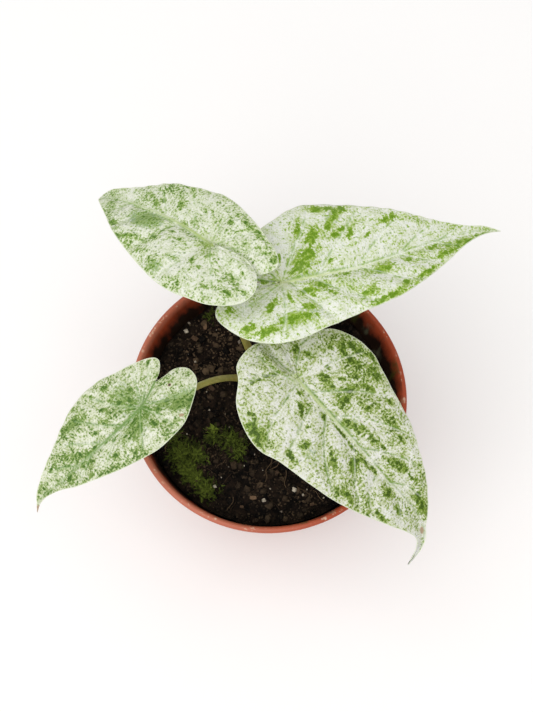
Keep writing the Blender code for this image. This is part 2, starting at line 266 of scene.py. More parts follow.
# %% [markdown]
# ## The leaves as flat drawings
# An alocasia blade is a flat sheet that is easiest to describe before it is bent: x runs from the
# stalk's junction to the tip and y across, in millimetres. The midrib goes from the tip to the
# notch where both halves meet, and each half's outline goes from the one round a lobe to the
# other. The other numbers say how the sheet is hung: its heading, its slope, how fast it bends
# down, how steeply its halves fold up at the midrib and how fast they curve down again towards
# the edge. They are the same numbers that the solids have.

# %% The four blades
LEAVES = {
    "top": {
        "junction": (-21.6, 20.6, 168.0), "heading": 152.0, "pitch": 16.0, "bend": 0.35,
        "lobe_bend": 0.35, "fold": 14.0, "crown": 1.3, "roll": 5.0, "tail": (50.0, 0.05),
        "upper_lobe": 1,
        "midrib": [(56, -0.5), (43, -2.0), (28, -1.9), (14, -1.6), (0, 0), (-2.5, 0.5)],
        "left": [(49, 3.2), (42, 6.7), (30, 12.6), (16, 17.6), (3, 20.8), (-9, 20.0), (-18, 17.2),
                 (-23, 12.4), (-23.8, 7.0), (-20, 1.8), (-13, -0.7), (-6.5, 0.9)],
        "right": [(52, -4.0), (43, -7.2), (32, -12.2), (20, -15.4), (7.5, -17.5), (-4, -15.0),
                  (-14, -11.0), (-21, -7.6), (-23.8, -3.6), (-20, 0.6), (-14, 1.4), (-7, 0.0)],
        "stalk": [(-7.0, 9.0, 100.0), (-13.5, 13.5, 128.0)], "stalk_radius": 1.3,
    },
    "right": {
        "junction": (2.2, 14.8, 158.0), "heading": 28.5, "pitch": 6.0, "bend": 0.18,
        "lobe_bend": 0.45, "fold": 18.0, "crown": 1.3, "roll": -4.0, "tail": (74.0, 0.012),
        "upper_lobe": 0,
        "midrib": [(84.5, 0.6), (64, 0.8), (39, -1.2), (26, -1.9), (13, -1.1), (0, 0), (-1.5, 0.7)],
        "left": [(77, 3.0), (69, 4.6), (54, 10.7), (40, 17.7), (29, 23.0), (17, 26.5), (5, 22.6),
                 (-5, 17.5), (-11, 12.5), (-13.5, 8.0), (-12, 4.6), (-7, 2.8)],
        "right": [(76, -0.2), (67, -3.1), (56, -8.5), (46, -12.8), (34, -16.9), (20, -18.6), (6, -20.3),
                  (-4, -21.2), (-14, -18.4), (-20.5, -12.2), (-23.6, -5.0), (-21, -0.2), (-14, 1.6),
                  (-7, 2.4)],
        "stalk": [(-1.0, 9.0, 100.0), (1.5, 12.5, 130.0)], "stalk_radius": 1.4,
    },
    "front": {
        "junction": (10.8, -11.2, 143.0), "heading": -38.0, "pitch": 12.0, "bend": 0.35,
        "lobe_bend": 0.45, "fold": 14.0, "crown": 1.2, "roll": 0.0, "tail": (64.0, 0.02),
        "upper_lobe": 1,
        "midrib": [(72.2, -11.2), (71.3, -6.8), (69.2, -2.8), (65, 0.2), (58, 1.2), (44, 0.3),
                   (30, 0.2), (15, 0), (0, 0), (-1.2, 0.7)],
        "left": [(71.8, -6.4), (69.9, -1.4), (66, 1.6), (62, 5.6), (54, 11.0), (44, 15.1), (35.5, 19.0),
                 (28, 21.0), (20, 23.0), (10, 25.3), (2, 23.8), (-4, 20.3), (-8, 14.5), (-13, 11.0),
                 (-15.6, 7.2), (-14.5, 4.2), (-9, 3.2), (-4, 2.7)],
        "right": [(70.8, -7.6), (67.9, -4.2), (63.5, -4.9), (56, -8.8), (46, -13.8), (36, -17.9),
                  (25, -20.7), (16, -22.5), (8, -25.1), (0, -23.9), (-7, -20.6), (-12, -15.0),
                  (-16.2, -11.6), (-17.6, -5.6), (-16.5, 0.5), (-12.5, 4.0), (-7, 3.6), (-3.4, 1.3)],
        "stalk": [(1.0, 1.0, 100.0), (6.5, -5.5, 124.0)], "stalk_radius": 1.3,
    },
    "left": {
        "junction": (-39.8, -23.2, 128.0), "heading": -135.0, "pitch": 14.0, "bend": 0.35,
        "lobe_bend": 0.45, "fold": 12.0, "crown": 1.4, "roll": 0.0, "tail": (46.0, 0.08),
        "upper_lobe": 0,
        "midrib": [(53, 1.8), (50.5, 0.7), (47, 0.3), (38, 1.0), (30, 1.3), (14, 1.1), (0, 0),
                   (-8.8, -3.7)],
        "left": [(50.2, 1.3), (46, 1.5), (40, 3.4), (33, 7.0), (22, 11.0), (13, 13.6), (3, 15.4),
                 (-8, 14.0), (-15, 9.8), (-20.2, 5.0), (-20.4, -0.2), (-16.8, -3.2), (-12.4, -3.5)],
        "right": [(50.8, 0.0), (48.6, -1.8), (42, -5.2), (33, -9.8), (25, -13.3), (16, -16.8),
                  (7.5, -17.2), (-1, -14.9), (-8, -13.2), (-13, -11.0), (-14.2, -8.7), (-12.0, -5.6)],
        "stalk": [(-8.5, 2.0, 96.0), (-19.5, -6.0, 113.0)], "stalk_radius": 1.15,
    },
}

# %% [markdown]
# ## Veins and splashes
# Side veins leave the midrib and sweep forward to the edge, and those in the lobes fan out from the
# junction. They are drawn on the flat blade, as a botanist would. The variegation has small speckles, which
# follow a rule, and larger green splashes, whose places are part of how this plant looks: each is an oval of
# (x, y, half length, half width, turn in degrees), which noise will later break up. Washes change how dense
# the speckle is, and clouds are deeper blue-green areas that show through the pale upper skin. Theirs is one
# more number, a strength.

# %% Veins, splashes, washes and clouds of each blade
VEINS = {
    "top": [
        [(14.6, -0.9), (17, 3.1), (18.3, 7.8), (21, 14)], [(1, 1), (2.5, 8), (4.5, 15), (6.5, 20)],
        [(-1, 1.2), (-6, 7), (-11, 13), (-14, 18)], [(-1.5, 0.8), (-9, 4), (-17, 7)],
        [(27, -1.7), (30, 4), (35, 9)], [(38, -1.5), (41, 3), (45, 5)],
        [(8, -1.5), (12, -7), (18, -13), (22, -15)], [(0, -1), (1, -8), (4, -16)],
        [(-1.5, -0.5), (-6, -6), (-11, -11)], [(-2, 0), (-9, -3), (-17, -5)],
        [(21, -1.9), (26, -7), (33, -11)], [(35, -1.9), (40, -5.5), (46, -6.5)],
    ],
    "right": [
        [(1, 1), (6.1, 7.6), (12.6, 15.3), (19, 24)], [(-0.5, 1.5), (-4, 8), (-7, 13)],
        [(-2, 1), (-7.5, 4.6), (-11, 7)], [(12, -0.8), (19, 5), (27, 12), (35, 19)],
        [(26, -1.7), (33, 3.5), (41, 9), (50, 12.5)], [(42, -1), (49, 3), (58, 6.5), (64, 7)],
        [(58, 0.4), (64, 2.6), (71, 4)], [(-0.2, -1.4), (-1.3, -6.8), (-3.1, -11.3), (-5.5, -17)],
        [(0, -0.5), (-7, -3.5), (-15, -6.5)], [(3, -0.8), (6, -8), (10, -16)],
        [(10.8, -2), (13.9, -6), (18.4, -10), (24, -14.8), (28, -17)],
        [(27, -2), (33, -7), (39, -11), (45, -13)], [(42, -1.2), (48, -5), (54, -8)],
        [(56, 0.3), (62, -2.5), (67, -3)],
    ],
    "front": [
        [(-2.6, 2.3), (-4.7, 4.9), (-6.7, 9), (-6, 13)], [(0, 0.5), (3, 7), (5, 15), (8.5, 23)],
        [(7, 0.4), (12, 7), (18, 13.5), (25, 19)], [(16.8, -0.2), (20.2, 3.9), (25.4, 8.1),
                                                   (33, 13), (39, 16)],
        [(31, 0.4), (36, 4.5), (42, 8.5), (49, 11.5)], [(46, 0.6), (51, 4), (57, 6.2)],
        [(-1.0, -0.2), (-8.0, -0.9), (-15.0, -1.5)], [(-0.5, -2.1), (-6.3, -4.1), (-13.5, -4.8)],
        [(-2.6, -2.5), (-7.6, -7.4), (-9.1, -12.6), (-8.9, -16.4)],
        [(1.7, -2), (3.1, -8), (5, -15.9), (7.9, -20.7)],
        [(9.9, -2.6), (11.6, -7.9), (13.7, -14.3), (15.3, -17.3)],
        [(15.5, -1), (19.1, -5.9), (25.4, -11.5), (30.6, -14.3), (36, -16.8)],
        [(28, -0.5), (33, -5), (39, -9.5), (46, -12.5)],
        [(41.1, -2.1), (43.3, -6.8), (47.1, -9.7), (52, -10)], [(53, -0.8), (57, -4), (62, -5)],
    ],
    "left": [
        [(0.7, -0.2), (2.8, 3.5), (6, 8.7), (9, 13.5)], [(0, 0.2), (-3, 6), (-5, 12)],
        [(-1, 0.3), (-8, 4), (-15, 6)], [(12, 1.1), (17, 5), (23, 9.5)],
        [(24, 1.3), (29, 4.5), (35, 6)], [(36, 1), (40, 2.5), (44, 2.3)],
        [(0.2, 0.3), (5.9, -5.2), (9.3, -9), (13, -15)], [(-0.5, -0.5), (-3, -7), (-5, -12)],
        [(-1, -1), (-7, -6), (-11, -9)], [(9, 0.9), (15, -4), (21, -11)],
        [(18, 1.2), (24, -3.5), (31, -8.5)], [(30, 1.3), (35, -2), (41, -4.5)],
    ],
}

SPLASHES = {
    "top": [
        (17.2, 7.3, 2.6, 1.2, 75), (15.7, 3.0, 2.4, 0.7, 70), (12.4, 3.0, 1.0, 0.8, 0),
        (12.0, -2.2, 1.3, 0.7, -30), (27.0, -4.7, 2.2, 1.0, -25), (31.0, -7.0, 2.4, 0.7, -15),
        (26.0, -6.6, 1.5, 0.7, 0), (17.6, -7.5, 2.0, 0.9, -60), (17.0, -9.4, 1.0, 0.5, 0),
        (-4.4, 9.9, 1.0, 0.7, 60), (-3.3, 4.4, 1.3, 1.0, 0), (0.7, 1.4, 1.2, 0.8, 0),
        (-0.7, 9.0, 1.2, 0.7, -60), (-18.7, 9.2, 1.6, 0.6, -60), (-15.8, 7.6, 2.6, 0.5, -42),
        (-21.6, 9.7, 1.1, 0.8, 0), (-17.5, 13.0, 1.8, 1.0, -20), (-17.8, 4.5, 1.3, 0.7, 0),
        (-18.5, -5.5, 1.0, 0.8, 0), (-15.0, -6.0, 1.1, 0.7, 20), (-11.8, -10.3, 3.2, 0.9, -20),
        (-22.0, -5.6, 1.4, 0.8, 60), (-6.5, -11.5, 1.6, 0.9, -20), (-1.5, -9.3, 1.3, 0.8, 0),
        (4.6, 11.0, 2.4, 0.6, 10), (18.0, 14.0, 1.5, 0.7, 20), (25.5, 11.2, 3.2, 0.7, 22),
        (34.5, 8.3, 1.6, 0.6, -10), (-10.5, 14.5, 1.2, 0.7, 0), (8.0, 4.5, 0.9, 0.6, 0),
        (8.5, -9.0, 1.0, 0.6, -50), (22.5, -2.9, 1.4, 0.5, -20),
    ],
    "right": [
        (8.9, 4.7, 5.4, 2.7, 40), (15.0, 12.4, 3.4, 1.8, 45), (11.6, 16.8, 3.0, 0.8, 62),
        (21.0, 23.2, 2.4, 1.6, -20), (28.0, 20.4, 3.0, 1.9, 15), (24.6, 21.8, 2.0, 1.0, 0),
        (24.3, 17.2, 2.0, 1.3, 25), (21.4, 14.5, 2.0, 1.1, 70), (27.7, 10.4, 2.7, 1.1, 60),
        (22.6, 11.0, 1.3, 1.0, 0), (26.0, 12.6, 1.7, 0.7, 20), (42.3, 12.0, 3.4, 1.2, 10),
        (6.3, -6.3, 2.6, 1.7, -20), (11.7, -5.3, 2.0, 1.6, 0), (13.5, -9.2, 1.5, 0.9, -30),
        (-2.4, -14.5, 3.0, 1.8, 0), (4.5, -12.0, 1.9, 1.0, -10), (2.6, -15.2, 2.2, 1.2, 0),
        (-16.2, -13.3, 2.0, 1.6, 30), (-11.0, -15.9, 2.6, 1.4, 0), (-19.0, -4.6, 1.6, 1.2, 60),
        (-6.8, -8.2, 3.0, 1.0, 40), (0.0, -6.5, 2.4, 0.5, 85), (24.6, -12.8, 2.0, 1.0, 0),
        (29.5, -16.4, 6.0, 0.9, 6), (38.0, -12.8, 1.6, 1.0, 20), (33.2, -5.2, 3.2, 1.4, 12),
        (43.0, -4.2, 1.5, 0.9, 0), (54.3, -1.6, 1.9, 1.0, 5), (59.5, -1.6, 1.4, 0.8, 0),
        (57.7, -5.0, 4.5, 1.1, 15), (66.0, -2.3, 6.0, 1.3, 10), (47.0, -10.6, 5.0, 0.6, 17),
        (-2.8, 4.8, 2.0, 0.6, -55), (1.6, 7.5, 1.6, 0.6, 60), (20.5, -3.0, 2.2, 0.8, -10),
        (75.0, -0.4, 4.0, 0.8, 5), (17.5, 3.0, 1.2, 0.7, 0), (33.0, 8.0, 1.2, 0.5, 20),
        # a dark green strip at the notch: painted shade of the gap between the lobes
        (-4.6, 2.0, 3.2, 0.7, -20),
    ],
    "front": [
        (16.2, 20.8, 2.8, 1.7, -20), (11.6, 23.6, 3.0, 0.9, -8), (5.4, 21.6, 3.4, 1.5, 20),
        (2.2, 18.2, 1.6, 1.1, 0), (6.6, 16.9, 2.2, 1.0, 0), (18.3, 15.3, 2.5, 0.9, 15),
        (14.2, 9.9, 2.3, 1.6, 70), (15.2, 6.1, 2.4, 1.7, -45), (6.3, 6.5, 2.0, 1.3, 0),
        (9.2, 6.4, 1.2, 0.8, 60), (22.4, 10.4, 1.9, 0.5, 80), (25.7, 4.0, 1.9, 1.3, 10),
        (22.0, 2.8, 2.2, 1.1, 20), (31.3, 5.3, 2.3, 1.1, 10), (35.0, 6.3, 1.4, 0.6, 0),
        (42.0, 6.2, 3.2, 1.5, 20), (45.2, 7.6, 1.5, 1.0, 0), (38.8, -0.9, 2.0, 0.7, 0),
        (32.5, -4.4, 2.8, 1.5, -72), (47.4, -2.2, 2.2, 1.3, 20), (57.5, 4.8, 3.6, 1.2, -10),
        (60.3, 3.4, 1.2, 0.9, 0), (51.5, -9.2, 2.6, 0.7, 5), (3.8, -2.9, 1.0, 0.7, 0),
        (7.9, -6.2, 2.6, 1.0, -52), (-6.4, -5.7, 3.0, 0.7, 62), (-8.4, -11.0, 2.2, 0.5, 80),
        (3.4, -22.2, 4.4, 1.7, -12), (-0.8, -19.4, 1.6, 0.9, 0), (14.9, -1.9, 1.2, 0.8, -30),
        (16.7, -13.2, 1.5, 1.1, 80), (16.2, -18.6, 2.0, 1.0, 0), (38.4, -13.4, 2.2, 0.9, 5),
        (35.0, -15.5, 1.1, 0.6, 0), (26.5, -9.4, 3.0, 1.0, -32), (0.1, 14.9, 0.9, 0.7, 0),
        (-3.4, 7.9, 1.2, 0.8, 0), (4.0, 10.0, 1.0, 0.7, 0), (-7.0, 6.0, 2.0, 1.3, -25),
        (-1.0, 12.2, 0.9, 0.6, 0), (50.0, 7.5, 1.6, 0.7, 20), (54.5, -3.2, 1.6, 0.7, 0),
        (22.5, -1.3, 2.6, 0.5, 0), (28.5, -1.6, 2.2, 0.5, 0), (34.5, -1.8, 2.4, 0.5, 0),
        (5.5, 17.5, 4.0, 0.8, 10), (9.5, 10.4, 1.2, 0.6, 40), (37.5, 12.5, 1.4, 0.6, 0),
        (13.5, -8.8, 1.0, 0.5, 80), (-14.5, 2.6, 1.2, 0.5, 0), (26.0, 18.0, 1.2, 0.6, 0),
    ],
    "left": [
        (4.9, 4.1, 2.6, 1.7, 60), (-0.1, 7.5, 2.0, 1.3, -20), (7.4, 7.0, 1.3, 0.8, 80),
        (-3.4, 9.5, 1.1, 0.7, 0), (-10.4, 7.7, 2.4, 1.3, -15), (-7.9, 4.4, 1.9, 0.8, -10),
        (-3.9, 4.4, 1.5, 0.7, -40), (0.0, 0.7, 1.8, 0.9, 0), (0.8, 4.0, 1.5, 0.8, 75),
        (16.6, 7.8, 1.0, 1.0, 0), (14.3, 2.7, 0.6, 0.5, 0), (25.3, 3.6, 2.0, 1.2, 0),
        (28.0, 2.7, 0.9, 0.7, 0), (34.7, 2.7, 1.6, 1.6, 0), (27.4, -1.3, 3.7, 1.4, -26),
        (30.9, -3.4, 1.0, 0.8, 0), (12.8, -4.0, 1.6, 0.9, -42), (18.0, -2.9, 1.1, 0.5, -15),
        (10.7, -7.2, 2.6, 0.7, -50), (-0.6, -6.8, 1.1, 0.8, 0), (1.5, -3.6, 2.6, 0.9, -72),
        (4.6, -5.6, 2.4, 0.9, -55), (6.0, -8.7, 1.1, 0.9, 0), (17.6, -9.7, 1.5, 0.9, 0),
        (22.4, -11.1, 3.6, 1.0, 8), (12.0, -13.8, 1.0, 0.8, 0), (6.1, -13.1, 1.6, 1.2, 0),
        (-10.9, -10.4, 1.0, 0.7, 0), (27.0, 7.4, 0.9, 0.6, 0), (3.0, -1.5, 1.6, 0.6, -35),
        (-13.5, 10.0, 2.0, 0.8, 30), (38.5, -4.2, 1.8, 0.7, 0), (9.5, 11.2, 1.6, 0.8, 20),
        (-5.5, 11.6, 1.6, 0.7, 15), (21.5, 0.4, 3.0, 0.5, 3),
    ],
}

# Broader areas of denser speckle, or of hardly any where the last number is negative
WASHES = {
    "top": [
        (30, 0, 10, 6, 0, 0.3), (46, -1, 9, 4, 0, 0.45), (20, -13, 16, 2.6, 18, 0.7), (5, 1, 6, 0.9, 0, 0.9),
        (36, 10, 14, 3, -28, 0.9), (14, -13.5, 4, 2, 0, 0.8), (-18, 10, 5, 5, 0, 0.25),
        (8.7, 16.4, 2.4, 1.6, 0, 0.8), (2, -4, 8, 2.6, 0, -0.5), (0, 6, 8, 2, 0, -0.3),
        (-10, 2, 7, 2, -10, -0.3), (-6, -13.5, 14, 2, -24, 0.5), (0, 19, 14, 2, 0, 0.5),
        (2, -11, 12, 5, 0, 0.45), (25.2, 2.6, 5, 3, 4, 1.1),
    ],
    "right": [
        (35, -4, 18, 3, 3, 0.75), (63, -3, 13, 2.6, 9, 0.95), (15, -9, 6, 2.4, -50, 0.6),
        (51, 9.6, 6, 1.2, -22, 0.8), (72, 3.8, 9, 1.4, -12, 0.8), (12, 8, 9, 6, 45, 0.3),
        # denser speckle on the lower half: partly real speckle, partly painted shade of the slope that faces
        # away from the light
        (14, -10, 12, 7, 0, 0.6),
        (20, 20, 9, 5, 0, 0.35), (34, 6, 12, 5, 8, -0.45), (8, -17, 10, 2.4, 0, -0.4),
        (-3, -15, 9, 3.6, 0, 0.35), (54, 4, 10, 2.6, -6, -0.35), (16, -14, 6, 3, 0, -0.1),
        (42, -13.5, 14, 1.5, 16, 0.9), (-14, -5, 6, 3, 0, -0.2), (5, 1.4, 6, 1.2, 3, 0.3),
    ],
    "front": [
        (30, 14.5, 8, 3.6, -15, 0.65), (58, 7.2, 8, 2.0, -36, 0.9), (43, 10, 8, 4, -10, 0.35),
        (9, 18, 11, 5, 0, 0.95), (14, 10, 8, 5, 0, 0.5), (-12, -3, 5, 3, 0, 0.3), (4, 3.2, 5, 2.2, 20, -0.5),
        (22, -16, 8, 3.4, 0, -0.35), (30, -12, 7, 2.6, -30, -0.2), (-2, -13, 6, 5, 0, -0.3),
        # the first: denser speckle towards the lower edge, partly real speckle and partly painted shade of
        # that slope
        (37, -11, 8, 5, 0, 0.7), (4, -10, 5, 6, 0, -0.3), (-8, 1.8, 7, 2.4, 8, -0.8),
        (62, -1.5, 8, 3.4, 10, 0.5), (10, -12, 4, 5, 0, -0.25), (3, -21, 6, 3.2, 0, 0.45),
        (20, 8, 5, 4, 0, -0.1), (35, 1.8, 16, 1.0, 0, -0.4), (-12, 1.4, 5, 1.2, 0, -0.6),
        (-5, 14, 4, 7, 0, 0.35), (71, -6, 4, 7, 20, -2.0),
    ],
    "left": [
        (-13.5, 7, 5, 3.4, -10, 0.5), (3, 13.6, 13, 2, 2, 0.7), (-14, 0, 8, 2.6, 0, -0.8),
        (15, -5.4, 6, 2.2, -20, -0.6), (21, 5, 6, 2.2, 10, -0.4), (36, 0, 7, 6, 0, 0.4),
        (46, -2, 6, 3, 0, 0.5), (5, 3, 6, 5, 0, 0.5), (3, -6, 6, 5, -40, 0.45),
        (12, 12, 8, 3, -10, 0.6), (26, -9, 8, 2, 12, 0.6), (-10, -8, 6, 5, 0, -0.6),
        (30, 6.5, 8, 2.4, -25, 0.7), (12, -1.3, 10, 0.8, 0, -0.5), (4, 9.6, 2.6, 1.2, 40, -0.5),
        (12, -13, 8, 3, 8, 0.5),
    ],
}

CLOUDS = {
    "top": [(25.2, 2.6, 5.6, 3.3, 4, 1.0), (8.7, 16.4, 2.4, 1.8, 0, 0.7), (5, 11, 3, 1.4, 10, 0.4)],
    "right": [(-2.4, -14.5, 4.0, 2.4, 0, 0.7), (3.4, -14, 4, 3, 0, 0.45), (24.3, 17.4, 3, 2, 25, 0.6),
              (9, 5, 6, 4, 40, 0.4), (20, -8, 6, 2, -50, 0.3), (11.8, -5.3, 2.6, 2, 0, 0.5)],
    "front": [(3.4, -21.5, 5, 2.4, -10, 0.5), (20, -14, 5, 2.4, 0, 0.4), (22, 3, 3, 2, 20, 0.5),
              (9.2, 6.4, 2, 1.4, 0, 0.5), (-3.4, 7.9, 2, 1.4, 0, 0.5), (14.6, -2, 1.6, 1.2, 0, 0.6)],
    "left": [(-13, 7.4, 5, 3.2, -10, 0.7), (-8, 4.6, 4, 2, -10, 0.7), (4, 4, 5, 4, 0, 0.5),
             (3, -6, 4, 5, -30, 0.6), (9, 5, 4, 3, 30, 0.4), (22, -10.5, 6, 2, 8, 0.4)],
}

# Small blemishes: a tan scar, a dark dot and dry brown tips
SCARS = {
    "top": [],
    "right": [],
    "front": [(66.5, -0.6, 1.4, 0.8, -30, 0.7), (24.2, 6.4, 0.8, 0.4, 30, 0.5)],
    "left": [(-9.3, 11.3, 0.8, 0.45, -20, 1.0), (52.4, 1.7, 1.8, 1.2, 0, 1.0),
             (-12.1, 0.6, 0.45, 0.38, 0, 2.0)],
}


# %% [markdown]
# ## Laying a sheet over the outline
# A grid is laid over the outline like a rubber sheet. Its middle column lies on the midrib and
# each row runs along a side vein to the edge, so the sheet's own grain follows the leaf's. The
# body has rows at even steps from the tip, and the lobes have rows that fan round to the notch.

# %% Rows over the flat blade
CURVE_STEPS = 24
SIDE_VEIN_SHARES = (1.0, 0.8, 0.6, 0.4, 0.24, 0.14, 0.03)
LOBE_FIELDS = 3
FIELD_ROWS = 23
HALF_COLUMNS = 60
# How far a vein runs forward for each unit sideways, at the junction and added further out
SWEEP = 0.25
MORE_SWEEP = 0.55


def smooth_line(points, steps=CURVE_STEPS):
    """A smooth curve through the points, with a fixed number of steps between two of them."""
    points = np.array(points, float)
    ends = np.vstack([2 * points[0] - points[1], points, 2 * points[-1] - points[-2]])
    t = (np.arange(steps) / steps)[:, None]
    line = []
    for a, b, c, d in zip(ends, ends[1:], ends[2:], ends[3:]):
        line.append(0.5 * (2 * b + (c - a) * t + (2 * a - 5 * b + 4 * c - d) * t ** 2
                           + (3 * b - a - 3 * c + d) * t ** 3))
    return np.vstack(line + [points[-1:]])


def at_share(line, shares):
    """The points that lie these shares of a line's length from its start."""
    run = np.r_[0.0, np.cumsum(np.linalg.norm(np.diff(line, axis=0), axis=1))]
    wanted = np.asarray(shares) * run[-1]
    return np.stack([np.interp(wanted, run, line[:, k]) for k in range(line.shape[1])], -1)


def split_at_x(line, x):
    """Where a line that runs from the tip first comes down to x, and the rest of the line."""
    start, end = line[:-1], line[1:]
    hits = np.nonzero((end[:, 0] <= x) & (x <= start[:, 0]) & (start[:, 0] > end[:, 0]))[0]
    if not len(hits):
        return line[0], line
    a, b = start[hits[0]], end[hits[0]]
    point = a + (b - a) * (a[0] - x) / (a[0] - b[0])
    return point, np.vstack([point, line[hits[0] + 1:]])


def rib_offset(rib, x):
    """How far the midrib wanders off the blade's straight axis."""
    return np.interp(x, rib[::-1, 0], rib[::-1, 1])


def flat_rows(leaf):
    """For each row its point on the midrib, its two ends on the edge, and its phase."""
    rib = smooth_line(leaf["midrib"])
    tip, notch = leaf["midrib"][0], leaf["midrib"][-1]
    edges = [smooth_line([tip, *leaf[half], notch]) for half in ("left", "right")]
    length = rib[0, 0]
    starts, left, right, phases = [], [], [], []

    def reach(x):
        """Where a vein that leaves the midrib at x ends on the edge: it sweeps forward."""
        half = np.mean([abs(split_at_x(edge, x)[0][1] - rib_offset(rib, x)) for edge in edges])
        return x + (SWEEP + MORE_SWEEP * ease(x / length, 0.08, 0.25)) * half

    for field, (near, far) in enumerate(zip(SIDE_VEIN_SHARES, SIDE_VEIN_SHARES[1:])):
        for step in range(FIELD_ROWS):
            share = step / FIELD_ROWS
            x = length * (near + (far - near) * share)
            starts.append((x, rib_offset(rib, x)))
            left.append(split_at_x(edges[0], reach(x))[0])
            right.append(split_at_x(edges[1], reach(x))[0])
            phases.append(field + share)
    lobe_start = SIDE_VEIN_SHARES[-1] * length
    lobes = [split_at_x(edge, reach(lobe_start))[1] for edge in edges]
    lobe_rib = smooth_line([(lobe_start, rib_offset(rib, lobe_start)), (0, 0), tuple(rib[-1])])
    shares = np.linspace(0.0, 1.0, LOBE_FIELDS * FIELD_ROWS + 1)
    starts = np.vstack([starts, at_share(lobe_rib, shares ** 1.5)])
    left = np.vstack([left, at_share(lobes[0], shares)])
    right = np.vstack([right, at_share(lobes[1], shares)])
    phases = np.r_[phases, len(SIDE_VEIN_SHARES) + shares * LOBE_FIELDS]
    return rib, starts, left, right, phases


test_rows = flat_rows(LEAVES["front"])[1]
print("a blade has", len(test_rows), "rows of", 2 * HALF_COLUMNS + 1, "points")

# %% [markdown]
# ## Hanging the sheet
# The flat sheet is then bent in three steps: along the midrib, which slopes and droops towards
# the tip; up on both sides of the midrib, like an open book; and down again towards the edges,
# which gives each half its crown. Where the lobes overlap at the notch, one lies on the other.

# %% From flat to hung
LOBE_LIFT = 1.5


def midrib_frame(leaf, x):
    """The midrib's place, the sideways direction and the blade's normal at x, for many x."""
    heading = math.radians(leaf["heading"])
    forward = np.array((math.cos(heading), math.sin(heading), 0.0))
    aside = np.array((-math.sin(heading), math.cos(heading), 0.0))
    up = np.array((0.0, 0.0, 1.0))
    start = math.radians(leaf["pitch"])
    rate = np.radians(np.where(x > 0, leaf["bend"], leaf["lobe_bend"]))
    slope = start + rate * x
    run = (np.sin(slope) - math.sin(start)) / rate
    tail_start, tail_drop = leaf["tail"]
    fall = (math.cos(start) - np.cos(slope)) / rate
    fall = fall + tail_drop * np.maximum(0.0, x - tail_start) ** 2
    place = np.array(leaf["junction"]) + forward * run[..., None] - up * fall[..., None]
    normal = forward * np.sin(slope)[..., None] + up * np.cos(slope)[..., None]
    return place, aside, normal


def hang(leaf, rib, flat, side, raised):
    """Points of the flat blade in their places, in millimetres."""
    x, y = flat[..., 0], flat[..., 1]
    place, aside, normal = midrib_frame(leaf, x)
    wander = rib_offset(rib, x)
    across = y - wander
    sign = np.where(across >= 0, 1.0, -1.0)
    rate = math.radians(leaf["crown"])
    start = np.radians(-leaf["fold"] - sign * leaf["roll"])
    droop = start + rate * np.abs(across)
    out = (np.sin(droop) - np.sin(start)) / rate
    down = (np.cos(start) - np.cos(droop)) / rate
    if leaf["upper_lobe"]:
        near_notch = LOBE_LIFT * ease(-x, 1.0, 5.0)
        over = near_notch * (1.0 - ease(np.abs(across), 1.0, 8.0))
        under = near_notch * (1.0 - ease(side * across, -0.5, 4.0))
        raised = raised + np.where(side == leaf["upper_lobe"], over, -under)
    return place + aside * (wander + sign * out)[..., None] + normal * (raised - down)[..., None]


# %% [markdown]
# ## Relief
# On the upper face the veins lie in grooves and the skin between them swells up a little, which
# breaks the light into soft patches. The edge has a slow wave and a finer crimp. The midrib
# stands up as a narrow line. The distance from every point to its nearest vein gives all of it.

# %% Relief of the blade
QUILT = 0.85
QUILT_REACH = 3.0
GROOVE = 0.12
GROOVE_WIDTH = 0.45
RIB_LINE = 0.3
RIB_LINE_WIDTH = 0.5
WAVE = 0.7
CRIMP = 0.22
FULL_WIDTH = 20.0
EDGE_SLANT = 0.85  # a row meets the edge at a slant, so the edge is nearer than the row's end


def distance_to_lines(flat, lines, steps=6):
    """Distance of each point to the nearest line in mm, and the same with the side as a sign."""
    best = np.full(flat.shape[:-1], 1e9)
    signed = np.full(flat.shape[:-1], 1e9)
    for line in lines:
        curve = smooth_line(line, steps)
        for a, b in zip(curve, curve[1:]):
            offset = flat - a
            along = np.clip((offset @ (b - a)) / np.dot(b - a, b - a), 0.0, 1.0)
            gap = np.linalg.norm(offset - along[..., None] * (b - a), axis=-1)
            turn = (b - a)[0] * offset[..., 1] - (b - a)[1] * offset[..., 0]
            nearer = gap < best
            signed = np.where(nearer, gap * np.sign(turn), signed)
            best = np.where(nearer, gap, best)
    return best, signed


